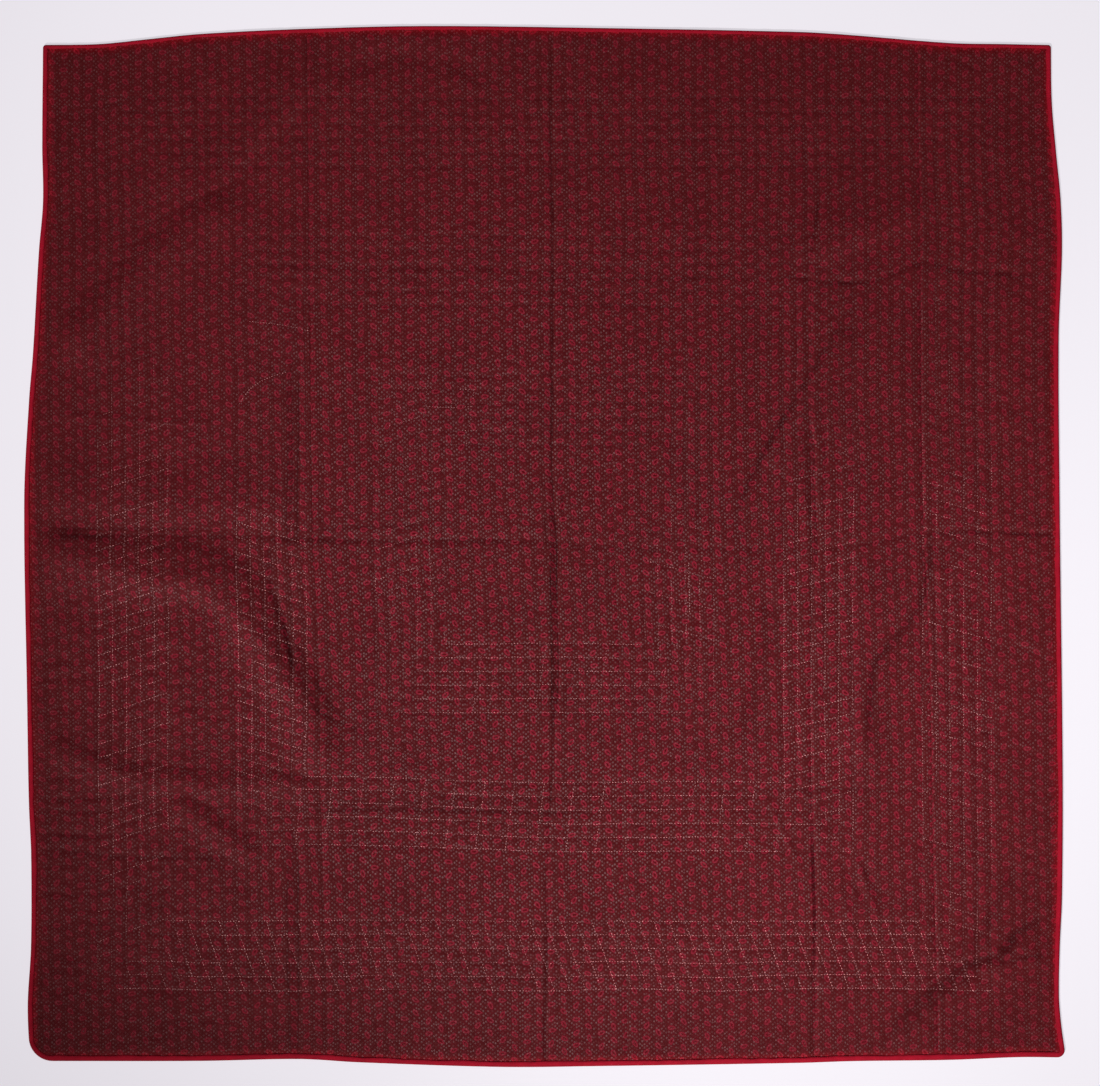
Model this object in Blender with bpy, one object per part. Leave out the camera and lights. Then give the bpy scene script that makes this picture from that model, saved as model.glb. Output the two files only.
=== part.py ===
"""A bed quilt laid out flat with its printed cotton back up, edged with a narrow red binding.

Everything is in metres with +Z up. The origin is the middle of the footprint, on the surface that the
quilt lies on. +X points to the quilt's right side and +Y to its far side.
"""

import math
from collections import namedtuple

import bmesh
import bpy
from mathutils import Matrix, Vector, kdtree
from mathutils.geometry import delaunay_2d_cdt

# The outline: four corners, and how far each side waves out of the straight line between two of them
Corner = namedtuple("Corner", "name x y radius steps")
Side = namedtuple("Side", "name axis waves")
Wave = namedtuple("Wave", "along out")
CORNERS = (
    Corner("near_left", -1.030, -1.029, 0.045, 8),
    Corner("near_right", 1.042, -1.022, 0.018, 5),
    Corner("far_right", 1.012, 1.003, 0.006, 3),
    Corner("far_left", -1.004, 1.003, 0.006, 3),
)
NEAR_WAVES = (
    Wave(-0.69, 0.001),
    Wave(-0.49, -0.002),
    Wave(-0.37, 0.005),
    Wave(-0.09, 0.015),
    Wave(0.11, 0.014),
    Wave(0.51, 0.009),
    Wave(0.61, 0.006),
    Wave(0.81, 0.004),
    Wave(0.95, -0.001),
)
RIGHT_WAVES = (
    Wave(-0.96, -0.008),
    Wave(-0.90, -0.012),
    Wave(-0.80, -0.009),
    Wave(-0.70, -0.003),
    Wave(-0.45, 0.002),
    Wave(0.10, 0.004),
    Wave(0.42, 0.007),
    Wave(0.59, 0.016),
    Wave(0.69, 0.015),
    Wave(0.79, 0.007),
    Wave(0.89, 0.000),
)
FAR_WAVES = (
    Wave(0.91, 0.002),
    Wave(0.81, 0.004),
    Wave(0.61, 0.020),
    Wave(0.51, 0.026),
    Wave(0.11, 0.034),
    Wave(-0.24, 0.038),
    Wave(-0.49, 0.032),
    Wave(-0.69, 0.022),
    Wave(-0.79, 0.012),
    Wave(-0.89, 0.002),
)
LEFT_WAVES = (
    Wave(0.80, -0.001),
    Wave(0.69, -0.004),
    Wave(0.59, 0.003),
    Wave(0.39, 0.012),
    Wave(0.29, 0.019),
    Wave(0.09, 0.026),
    Wave(-0.31, 0.015),
    Wave(-0.51, 0.009),
    Wave(-0.62, 0.003),
    Wave(-0.80, 0.001),
    Wave(-0.92, 0.006),
)
SIDES = (
    Side("near", 0, NEAR_WAVES),
    Side("right", 1, RIGHT_WAVES),
    Side("far", 0, FAR_WAVES),
    Side("left", 1, LEFT_WAVES),
)
STATION_STEP = 0.042  # between two stations along a side
LEAST_RADIUS = 0.0015  # of a corner of an inner ring
NEAR_ZERO = 1e-9

# The binding: a strip folded round the edge, as wide on both faces
BINDING_WIDTH = 0.0095
BINDING_CLOTH = 0.0009  # under the quilt
BINDING_WALL = 0.0018  # where it turns round the edge
BINDING_HEIGHT = 0.0049
CROWN_PLACE = 0.55  # where its upper face is highest, as a share of its width
SHOULDER_PLACE = 0.7  # where its upper face rounds over, as a share of the wall
SHOULDER_HEIGHT = 0.88  # as a share of its height
GAP = 0.0003  # between the binding and the quilt

# The filled cloth, as heights above the surface that the quilt lies on
LOFT = 0.0044
EDGE_LOW = BINDING_CLOTH + GAP  # the pressed edge inside the binding
EDGE_HIGH = EDGE_LOW + 0.0022

# The rings of the body, as distances in from the outer edge of the binding
BODY_EDGE = BINDING_WALL + GAP
UNDER_BINDING = BINDING_WIDTH + GAP
TOP_FULL = 0.018  # where the upper face has its full height
UNDERSIDE_FLAT = 0.014  # where the underside reaches the surface

# The hand quilting: concentric square frames, each of some long lines
FRAMES = 3
FRAME_LINES = 6
FRAME_PITCH = 0.2775
FIRST_LINE = 0.200  # half the side of the innermost square
LINE_PITCH = 0.0275
LINE_DEPTH = 0.0010
FRAME_CENTRE = Vector((0.0, 0.006))
LINE_STEP = 0.116  # between two points along a quilting line
FINE_PARTS = 4  # the step is cut into so many where the cloth lifts

# The creases that storage folded into the cloth, pressed into its upper face
UPRIGHT_FOLDS = (-0.496, 0.016, 0.534)  # at these x, running away from the near side
CROSS_FOLDS = (-0.490, 0.023, 0.553)  # at these y, running from left to right
FOLD_DEPTH = 0.0016
FOLD_WIDTH = 0.013  # from the middle of a crease to the plain cloth
FOLD_STEP = 0.042

# Where the cloth lies off the surface. The slopes fall to the left and the right of the route, seen
# along it.
Lift = namedtuple("Lift", "name rise left right route")
LIFTS = (
    Lift("far_left_ridge", 0.008, 0.100, 0.055, ((-0.68, 0.665), (-0.79, 0.570), (-0.93, 0.425))),
    Lift("far_left_step", 0.004, 0.035, 0.120, ((-0.47, 0.920), (-0.58, 0.820), (-0.69, 0.715))),
    Lift("fold_welt", 0.004, 0.100, 0.056, ((-0.97, 0.100), (-0.75, 0.090), (-0.55, 0.085))),
    Lift("left_bubble", 0.011, 0.090, 0.065, (
        (-0.455, -0.400), (-0.482, -0.313), (-0.526, -0.240), (-0.570, -0.163), (-0.614, -0.090),
        (-0.680, -0.055), (-0.778, -0.043), (-0.886, -0.033), (-0.960, -0.015),
    )),
    Lift("left_ridge", 0.005, 0.036, 0.050, (
        (-0.97, -0.407), (-0.85, -0.451), (-0.72, -0.470), (-0.49, -0.475),
    )),
    Lift("low_bump", 0.005, 0.050, 0.035, ((-0.60, -0.607), (-0.72, -0.517))),
    Lift("right_ridge", 0.005, 0.090, 0.045, ((0.54, 0.593), (0.634, 0.629), (0.73, 0.661))),
    Lift("slant_ridge", 0.004, 0.060, 0.028, ((0.596, 0.407), (0.546, 0.331), (0.502, 0.263), (0.456, 0.185))),
    Lift("right_wrinkle", 0.004, 0.050, 0.060, ((0.77, -0.050), (0.65, -0.250), (0.64, -0.400))),
    Lift("near_right_ridge", 0.004, 0.090, 0.032, (
        (0.96, -0.800), (0.86, -0.860), (0.77, -0.920), (0.72, -0.980),
    )),
)
ROUTE_STEP = 0.045  # between two points along a lift
SLOPE_SHARES = (-1, -0.67, -0.33, 0, 0.33, 0.67, 1)  # rows of points, from the right to the left
END_SHARES = (0.5, 1.0)
END_TURNS = tuple(math.radians(turn) for turn in (-60, -20, 20, 60))
LEAST_LIFT = 0.0002  # the quilting lines take fine steps where the cloth lifts by more
EDGE_REST = 0.060  # the border that lies flat all round
UNDERSIDE_SLACK = 0.0010  # a lift smaller than this leaves the underside on the surface

# The spacing of the points that fill the plain stretches
TOP_FILL = 0.075
UNDERSIDE_FILL = 0.150
FILL_CLEAR = 0.6  # share of the spacing that a filling point keeps from the others
FILL_REACH = 1.1  # half the side of the square that the filling points are laid over
ROW_SHARE = math.sqrt(3) / 2  # the height of an even triangle, for a side of 1
ROW_MARGIN = 0.027  # how far in from the outline the rows along folds and lifts stay
FILL_MARGIN = 0.036  # how far in the filling points stay
INSIDE_ONLY = 1  # the kind of triangulation that drops what lies outside the border
MERGE = 1e-6

# Colours are linear, as the shader takes them
Finish = namedtuple("Finish", "name colour roughness")
PRINTED_COTTON = Finish("printed_cotton", (0.095, 0.012, 0.016, 1.0), 0.9)
BINDING_COTTON = Finish("binding_cotton", (0.330, 0.006, 0.018, 1.0), 0.85)


def remove_start_objects():
    for obj in list(bpy.data.objects):
        bpy.data.objects.remove(obj, do_unlink=True)


def finish_material(finish):
    """A rough cloth material of one colour."""
    material = bpy.data.materials.new(finish.name)
    material.use_nodes = True
    shader = material.node_tree.nodes["Principled BSDF"]
    shader.inputs["Base Color"].default_value = finish.colour
    shader.inputs["Roughness"].default_value = finish.roughness
    shader.inputs["Metallic"].default_value = 0.0
    return material


def smooth_through(rows, place):
    """The value at a place on a smooth curve through rows of (place, value), sorted by place."""
    last = len(rows) - 2
    i = 0
    while i < last and place > rows[i + 1][0]:
        i += 1
    (x0, v0), (x1, v1) = rows[i], rows[i + 1]
    span = x1 - x0

    def slope(k):
        (xa, va), (xb, vb) = rows[max(k - 1, 0)], rows[min(k + 1, len(rows) - 1)]
        return (vb - va) / (xb - xa)

    t = min(max((place - x0) / span, 0.0), 1.0)
    rise = v1 - v0
    start, end = slope(i) * span, slope(i + 1) * span
    return v0 + t * (start + t * (3 * rise - 2 * start - end + t * (start + end - 2 * rise)))


SideFrame = namedtuple("SideFrame", "start along outward length")


def side_frame(index):
    """Where a side starts, the unit vectors along it and out of it, and its length."""
    first = CORNERS[index]
    second = CORNERS[(index + 1) % len(CORNERS)]
    start = Vector((first.x, first.y))
    chord = Vector((second.x, second.y)) - start
    along = chord.normalized()
    return SideFrame(start, along, Vector((along.y, -along.x)), chord.length)


def side_waves(index):
    """The side's waves as (distance along the side, distance out), from corner to corner."""
    frame, side = SIDE_FRAMES[index], SIDES[index]
    rows = [(abs(wave.along - frame.start[side.axis]), wave.out) for wave in side.waves]
    return [(0.0, 0.0)] + rows + [(frame.length, 0.0)]


SIDE_FRAMES = [side_frame(i) for i in range(len(SIDES))]
SIDE_WAVES = [side_waves(i) for i in range(len(SIDES))]


def side_point(index, distance, inset):
    """A point on a side that is moved in, at a distance from the side's start."""
    frame = SIDE_FRAMES[index]
    out = smooth_through(SIDE_WAVES[index], distance) - inset
    return frame.start + frame.along * distance + frame.outward * out


def inset_corner(index, inset):
    """Where the two sides at a corner meet once both are moved in."""
    corner = CORNERS[index]
    before, after = SIDE_FRAMES[index - 1].outward, SIDE_FRAMES[index].outward
    area = before.x * after.y - before.y * after.x
    x = -inset * (after.y - before.y) / area
    y = -inset * (before.x - after.x) / area
    return Vector((corner.x + x, corner.y + y))


def corner_span(index, inset):
    """(where a moved-in corner lies along the side before it and the side after it, its radius)."""
    tip = inset_corner(index, inset)
    before, after = SIDE_FRAMES[index - 1], SIDE_FRAMES[index]
    radius = max(CORNERS[index].radius - inset, LEAST_RADIUS)
    return (tip - before.start).dot(before.along), (tip - after.start).dot(after.along), radius


def ring(inset):
    """The outline moved in, as a closed list of points. Every ring has the same number of points."""
    points = []
    for i, corner in enumerate(CORNERS):
        on_before, on_after, radius = corner_span(i, inset)
        next_corner, _, next_radius = corner_span((i + 1) % len(CORNERS), inset)
        tip = inset_corner(i, inset)
        to_before = side_point(i - 1, on_before - radius, inset) - tip
        to_after = side_point(i, on_after + radius, inset) - tip
        for k in range(corner.steps):
            turn = math.pi / 2 * k / corner.steps
            points.append(tip + to_before * (1 - math.sin(turn)) + to_after * (1 - math.cos(turn)))
        first, last = on_after + radius, next_corner - next_radius
        stations = round(SIDE_FRAMES[i].length / STATION_STEP)
        for k in range(stations):
            points.append(side_point(i, first + (last - first) * k / stations, inset))
    return points


def edge_distance(x, y):
    """How far a point lies in from the outline."""
    distances = []
    for frame, waves in zip(SIDE_FRAMES, SIDE_WAVES):
        from_start = Vector((x, y)) - frame.start
        out = smooth_through(waves, from_start.dot(frame.along))
        distances.append(out - from_start.dot(frame.outward))
    return min(distances)


def smooth_step(t):
    t = min(max(t, 0.0), 1.0)
    return t * t * (3 - 2 * t)


def bell(t):
    """1 at 0, falling to 0 at 1."""
    return (1 + math.cos(math.pi * t)) / 2 if t < 1 else 0.0


def smooth_route(lift):
    """Points along a smooth curve through a lift's route."""
    distances = [0.0]
    for (ax, ay), (bx, by) in zip(lift.route, lift.route[1:]):
        distances.append(distances[-1] + math.hypot(bx - ax, by - ay))
    xs = [(d, x) for d, (x, _) in zip(distances, lift.route)]
    ys = [(d, y) for d, (_, y) in zip(distances, lift.route)]
    steps = round(distances[-1] / ROUTE_STEP)
    places = [distances[-1] * s / steps for s in range(steps + 1)]
    return [Vector((smooth_through(xs, d), smooth_through(ys, d))) for d in places]


ROUTES = [smooth_route(lift) for lift in LIFTS]


def from_route(route, point):
    """(distance from a route, how far to its left the point lies, from -1 to 1)."""
    best, side = None, 0.0
    for start, end in zip(route, route[1:]):
        span, offset = end - start, point - start
        t = min(max(offset.dot(span) / span.length_squared, 0.0), 1.0)
        away = offset - span * t
        if best is None or away.length < best:
            best = away.length
            side = (span.x * away.y - span.y * away.x) / max(span.length * best, NEAR_ZERO)
    return best, side


def slope_width(lift, side):
    """How far a lift reaches towards a side, from -1, its right, to 1, its left."""
    return lift.right + (lift.left - lift.right) * (1 + side) / 2


def lift_height(x, y):
    """How high the cloth lies off the surface at a point."""
    point = Vector((x, y))
    height = 0.0
    for lift, route in zip(LIFTS, ROUTES):
        distance, side = from_route(route, point)
        height = max(height, lift.rise * bell(distance / slope_width(lift, side)))
    return height * smooth_step(edge_distance(x, y) / EDGE_REST)


def crease_depth(x, y):
    """How far the storage folds draw the upper face down at a point."""
    upright = min(abs(x - place) for place in UPRIGHT_FOLDS)
    cross = min(abs(y - place) for place in CROSS_FOLDS)
    return FOLD_DEPTH * bell(min(upright, cross) / FOLD_WIDTH)


def quilting(x, y):
    """How far the long quilting lines draw the upper face down at a point."""
    square = max(abs(x - FRAME_CENTRE.x), abs(y - FRAME_CENTRE.y))
    for k in range(FRAMES):
        lines = (square - FIRST_LINE - k * FRAME_PITCH) / LINE_PITCH
        if -0.5 <= lines <= FRAME_LINES - 0.5:
            return LINE_DEPTH * (1 + math.cos(2 * math.pi * lines)) / 2
    return 0.0


def top_height(x, y):
    return LOFT + lift_height(x, y) - crease_depth(x, y) - quilting(x, y)


def underside_height(x, y):
    return max(lift_height(x, y) - UNDERSIDE_SLACK, 0.0)


def crease_rows(folds):
    """The places across each storage fold where rows of points run."""
    return [fold + row * FOLD_WIDTH for fold in folds for row in (-1, 0, 1)]


def lifted_near(height, place, reach):
    return max(height(place - reach), height(place), height(place + reach)) > LEAST_LIFT


def line_places(half_side, middle, folds, height):
    """Places along one side of a quilting square: even steps, its crossings of the folds, and fine
    steps on the lifts and at their feet. height gives the lift at a place."""
    corner = [middle - half_side, middle + half_side]
    rows = [row for row in crease_rows(folds) if abs(row - middle) < half_side - FOLD_WIDTH / 2]
    fine = LINE_STEP / FINE_PARTS
    for k in range(-math.ceil(half_side / fine), math.ceil(half_side / fine) + 1):
        place = middle + k * fine
        clear = all(abs(place - other) > fine / 2 for other in rows + corner)
        inside = abs(place - middle) < half_side
        if inside and clear and (k % FINE_PARTS == 0 or lifted_near(height, place, fine)):
            rows.append(place)
    return sorted(rows + corner)


def quilting_loops():
    """Closed squares along the long quilting lines and along the crests between them."""
    loops = []
    cx, cy = FRAME_CENTRE
    for k in range(FRAMES):
        for half_lines in range(-1, 2 * FRAME_LINES):
            half = FIRST_LINE + k * FRAME_PITCH + half_lines * LINE_PITCH / 2
            left, right, near, far = cx - half, cx + half, cy - half, cy + half
            near_xs = line_places(half, cx, UPRIGHT_FOLDS, lambda x, y=near: lift_height(x, y))
            far_xs = line_places(half, cx, UPRIGHT_FOLDS, lambda x, y=far: lift_height(x, y))
            left_ys = line_places(half, cy, CROSS_FOLDS, lambda y, x=left: lift_height(x, y))
            right_ys = line_places(half, cy, CROSS_FOLDS, lambda y, x=right: lift_height(x, y))
            loop = [Vector((x, near)) for x in near_xs[:-1]]
            loop += [Vector((right, y)) for y in right_ys[:-1]]
            loop += [Vector((x, far)) for x in far_xs[:0:-1]]
            loop += [Vector((left, y)) for y in left_ys[:0:-1]]
            loops.append(loop)
    return loops


def fold_points():
    """Rows of points along both slopes and the middle of every storage fold."""
    reach = round(FILL_REACH / FOLD_STEP)
    steps = [k * FOLD_STEP for k in range(-reach, reach + 1)]
    points = [Vector((row, step)) for row in crease_rows(UPRIGHT_FOLDS) for step in steps]
    points += [Vector((step, row)) for row in crease_rows(CROSS_FOLDS) for step in steps]
    points += [Vector((x, y)) for x in crease_rows(UPRIGHT_FOLDS) for y in crease_rows(CROSS_FOLDS)]
    return points


def lift_points():
    """Rows of points along every lift, on its crest and its slopes, and round its two ends."""
    points = []
    for lift, route in zip(LIFTS, ROUTES):
        for i, place in enumerate(route):
            span = route[min(i + 1, len(route) - 1)] - route[max(i - 1, 0)]
            left = Vector((-span.y, span.x)).normalized()
            for share in SLOPE_SHARES:
                points.append(place + left * share * (lift.left if share > 0 else lift.right))
        for end, inner, hand in ((route[0], route[1], -1), (route[-1], route[-2], 1)):
            for turn in END_TURNS:
                away = (end - inner).normalized()
                away.rotate(Matrix.Rotation(turn, 2))
                width = slope_width(lift, hand * math.sin(turn))
                points += [end + away * width * share for share in END_SHARES]
    return points


class Net:
    """Points and fixed edges inside a border, which are turned into triangles."""

    def __init__(self, border):
        self.border_size = len(border)
        self.points = list(border)
        self.edges = [(i, (i + 1) % len(border)) for i in range(len(border))]

    def add_loop(self, loop):
        first = len(self.points)
        self.points += loop
        self.edges += [(first + i, first + (i + 1) % len(loop)) for i in range(len(loop))]

    def add_points(self, points, margin, clear):
        """Adds the points that lie inside the border and clear of those already there."""
        tree = kdtree.KDTree(len(self.points))
        for i, p in enumerate(self.points):
            tree.insert((p.x, p.y, 0), i)
        tree.balance()
        for p in points:
            if edge_distance(p.x, p.y) > margin and tree.find((p.x, p.y, 0))[2] > clear:
                self.points.append(p)

    def triangles(self):
        """(points, triangles, for each point the place in the border that it stands for or None)."""
        points, _, faces, sources, *_ = delaunay_2d_cdt(self.points, self.edges, [], INSIDE_ONLY, MERGE)
        places = []
        for source in sources:
            on_border = [i for i in source if i < self.border_size]
            places.append(on_border[0] if on_border else None)
        return points, faces, places


def fill_points(spacing):
    """A triangular grid over the whole square."""
    reach = round(FILL_REACH / spacing)
    points = []
    for row in range(-reach, reach + 1):
        for column in range(-reach, reach + 1):
            points.append(Vector((column + row % 2 / 2, row * ROW_SHARE)) * spacing)
    return points


def add_ring(bm, inset, height, shift):
    return [bm.verts.new((p.x + shift.x, p.y + shift.y, height(p.x, p.y))) for p in ring(inset)]


def join_rings(bm, first, second):
    count = len(first)
    for i in range(count):
        j = (i + 1) % count
        bm.faces.new((first[i], first[j], second[j], second[i]))


def fill_ring(bm, border, net, height, shift):
    """Closes a ring with the net's triangles, each point at the height there."""
    points, faces, places = net.triangles()
    verts = []
    for p, place in zip(points, places):
        if place is None:
            verts.append(bm.verts.new((p.x + shift.x, p.y + shift.y, height(p.x, p.y))))
        else:
            verts.append(border[place])
    for face in faces:
        bm.faces.new([verts[i] for i in face])


def top_net():
    net = Net(ring(TOP_FULL))
    for loop in quilting_loops():
        net.add_loop(loop)
    net.add_points(fold_points(), ROW_MARGIN, LINE_PITCH / 4)
    net.add_points(lift_points(), ROW_MARGIN, LINE_PITCH / 2)
    net.add_points(fill_points(TOP_FILL), FILL_MARGIN, TOP_FILL * FILL_CLEAR)
    return net


def underside_net():
    net = Net(ring(UNDERSIDE_FLAT))
    net.add_points(lift_points(), ROW_MARGIN, LINE_PITCH / 2)
    net.add_points(fill_points(UNDERSIDE_FILL), FILL_MARGIN, UNDERSIDE_FILL * FILL_CLEAR)
    return net


def centring_shift():
    """The move that puts the middle of the outline's box at the origin."""
    outline = ring(0.0)
    xs = [p.x for p in outline]
    ys = [p.y for p in outline]
    return Vector((-(min(xs) + max(xs)) / 2, -(min(ys) + max(ys)) / 2))


def add_object(name, bm, finish, parent):
    """Turns a closed mesh into a named object with its material."""
    bmesh.ops.recalc_face_normals(bm, faces=bm.faces)
    mesh = bpy.data.meshes.new(name)
    bm.to_mesh(mesh)
    bm.free()
    mesh.shade_smooth()
    mesh.materials.append(finish_material(finish))
    obj = bpy.data.objects.new(name, mesh)
    obj.parent = parent
    bpy.context.collection.objects.link(obj)


def make_body(shift, parent):
    """The filled cloth: a quilted upper face, a flat underside and an edge pressed thin."""
    bm = bmesh.new()
    underside = add_ring(bm, UNDERSIDE_FLAT, lambda x, y: 0.0, shift)
    low_inner = add_ring(bm, UNDER_BINDING, lambda x, y: EDGE_LOW, shift)
    low_edge = add_ring(bm, BODY_EDGE, lambda x, y: EDGE_LOW, shift)
    high_edge = add_ring(bm, BODY_EDGE, lambda x, y: EDGE_HIGH, shift)
    high_inner = add_ring(bm, UNDER_BINDING, lambda x, y: EDGE_HIGH, shift)
    top = add_ring(bm, TOP_FULL, top_height, shift)
    rings = (underside, low_inner, low_edge, high_edge, high_inner, top)
    for first, second in zip(rings, rings[1:]):
        join_rings(bm, first, second)
    fill_ring(bm, top, top_net(), top_height, shift)
    fill_ring(bm, underside, underside_net(), underside_height, shift)
    add_object("quilt", bm, PRINTED_COTTON, parent)


def binding_section():
    """The folded strip's section, as (distance in from the outer edge, height), all the way round."""
    low_end = BINDING_WIDTH - GAP
    inner_high = EDGE_HIGH + GAP
    return (
        (low_end, 0.0),
        (BINDING_WALL / 2, 0.0),
        (0.0, BINDING_HEIGHT / 2),
        (BINDING_WALL * SHOULDER_PLACE, BINDING_HEIGHT * SHOULDER_HEIGHT),
        (BINDING_WIDTH * CROWN_PLACE, BINDING_HEIGHT),
        (BINDING_WIDTH, inner_high),
        (BINDING_WALL, inner_high),
        (BINDING_WALL, BINDING_CLOTH),
        (low_end, BINDING_CLOTH),
    )


def make_binding(shift, parent):
    """The binding as one closed strip round the whole edge."""
    bm = bmesh.new()
    rings = []
    for inset, z in binding_section():
        rings.append(add_ring(bm, inset, lambda x, y, level=z: level, shift))
    for first, second in zip(rings, rings[1:] + rings[:1]):
        join_rings(bm, first, second)
    add_object("binding", bm, BINDING_COTTON, parent)


def main():
    remove_start_objects()
    laid_place = bpy.data.objects.new("laid_place", None)
    bpy.context.collection.objects.link(laid_place)
    shift = centring_shift()
    make_body(shift, laid_place)
    make_binding(shift, laid_place)


main()
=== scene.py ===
"""The looks of a quilt that lies flat with its printed back up: printed cotton, hand quilting and binding.

Everything is in metres with +Z up, but the rows of the shape's tables, from the corners to the soft bumps,
are in millimetres. They give places as (x, y) on the surface that the quilt lies on, before the small move
that puts the middle of its outline at the origin.
"""

import math
from collections import namedtuple

import bpy
import numpy as np
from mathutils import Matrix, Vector
from mathutils.bvhtree import BVHTree

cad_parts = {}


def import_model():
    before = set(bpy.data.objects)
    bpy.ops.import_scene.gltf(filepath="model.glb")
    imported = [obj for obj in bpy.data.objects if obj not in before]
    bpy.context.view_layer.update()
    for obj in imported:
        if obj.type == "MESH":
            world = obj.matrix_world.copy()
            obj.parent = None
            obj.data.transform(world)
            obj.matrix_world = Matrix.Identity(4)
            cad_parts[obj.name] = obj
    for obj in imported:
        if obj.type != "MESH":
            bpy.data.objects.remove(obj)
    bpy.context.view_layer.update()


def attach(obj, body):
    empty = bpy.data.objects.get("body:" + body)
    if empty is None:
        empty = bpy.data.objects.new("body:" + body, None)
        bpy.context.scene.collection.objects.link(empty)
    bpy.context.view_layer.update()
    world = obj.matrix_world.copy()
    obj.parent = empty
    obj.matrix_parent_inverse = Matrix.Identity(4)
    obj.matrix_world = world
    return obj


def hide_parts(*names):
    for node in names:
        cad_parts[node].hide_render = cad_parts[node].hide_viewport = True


MM = 1000  # millimetres in a metre

# The outline: four corners, and how far each side waves out of the straight line between two of them
Corner = namedtuple("Corner", "name x y radius")
Side = namedtuple("Side", "name axis waves")
CORNERS = (
    Corner("near_left", -1030, -1029, 45),
    Corner("near_right", 1042, -1022, 18),
    Corner("far_right", 1012, 1003, 6),
    Corner("far_left", -1004, 1003, 6),
)
NEAR_WAVES = (
    (-690, 1), (-490, -2), (-370, 5), (-90, 15), (110, 14), (510, 9), (610, 6), (810, 4), (950, -1),
)
RIGHT_WAVES = (
    (-960, -8), (-900, -12), (-800, -9), (-700, -3), (-450, 2), (100, 4), (420, 7), (590, 16), (690, 15),
    (790, 7), (890, 0),
)
FAR_WAVES = (
    (910, 2), (810, 4), (610, 20), (510, 26), (110, 34), (-240, 38), (-490, 32), (-690, 22), (-790, 12),
    (-890, 2),
)
LEFT_WAVES = (
    (800, -1), (690, -4), (590, 3), (390, 12), (290, 19), (90, 26), (-310, 15), (-510, 9), (-620, 3),
    (-800, 1), (-920, 6),
)
SIDES = (
    Side("near", 0, NEAR_WAVES),
    Side("right", 1, RIGHT_WAVES),
    Side("far", 0, FAR_WAVES),
    Side("left", 1, LEFT_WAVES),
)
CORNER_STEPS = 12
EDGE_POINTS = 1025  # along the near and the far side, to measure the grid's columns by
OUTLINE_STEP = 0.006
LEAST_RADIUS = 0.0015

# Heights above the surface that the quilt lies on
LOFT = 0.0044
EDGE_TOP = 0.0032  # of the pressed edge inside the binding
EDGE_UNDER = 0.0010
RIM_START = 0.0095
RIM_FULL = 0.022  # how far in from the outline the cloth has its full height
FRONT_FULL = 0.0155  # and the front lies on the surface
FRONT_DIMPLE = 0.0004
DIMPLE_RIM = (0.02, 0.03)
CLOTH_INSET = 0.0055  # how far in the cloth starts, under the binding
LEAST_THICKNESS = 0.0009  # where creases cross
GRID_STEP = 0.0040
FRONT_STEP = 0.0105
CUT_LENGTH = 2.07  # of the panels and the front, both ways
BAKE_SPACE = 1.02  # the room and the free rim of the bake's flat map
BAKE_RIM = 0.005

# The print's upright lines lean: how far they stand to the right, by y
LEAN = (
    (-1060, 40.5), (-917, 38.6), (-777, 35), (-637, 30.5), (-497, 28), (-357, 26.2), (-217, 22.2),
    (-77, 16), (63, 10.4), (203, 7.6), (343, 6.2), (623, 4.2), (903, 0), (1060, -1),
)

# The panels that the back is pieced from: the seam on the right, a first column of the print, the
# spacing of the columns, a start for the rows, how bright the cloth is and how pale its dots are, and the
# width that the panel is cut to
Panel = namedtuple("Panel", "name seam column pitch row tone dots width")
PANELS = (
    Panel("back_left", -474, -493, 24.6, 4, 1, 0.82, 570),
    Panel("back_middle_left", 126, -445.2, 24.7, 15, 1, 0.96, 610),
    Panel("back_middle_right", 746, 141, 24.2, 9, 1, 0.88, 610),
    Panel("back_right", None, 768.6, 24.2, 21, 1.02, 0.92, 280),
)
SEAM_DEPTH = 0.0012
SEAM_WIDTH = 0.0050
SEAM_RIDGE = 0.0005  # where the panels' edges are pressed to one side of the seam
RIDGE_PLACE = 0.007

# The hand quilting: concentric square frames, each of some long lines with slanted lines across
FRAME_LINES = 6
MIDDLE_LINE = (FRAME_LINES - 1) / 2
FRAME_PITCH = 0.2775
FIRST_LINE = 0.200
LINE_PITCH = 0.0275
FRAME_CENTRE = (0.0, 0.006)
FRAME_WIDTH = (FRAME_LINES - 1) * LINE_PITCH
TROUGH_POWER = 1.6  # how narrow the trough of a line is
LINE_DEPTH = 0.0013
CROSS_DEPTH = 0.0009

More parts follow.
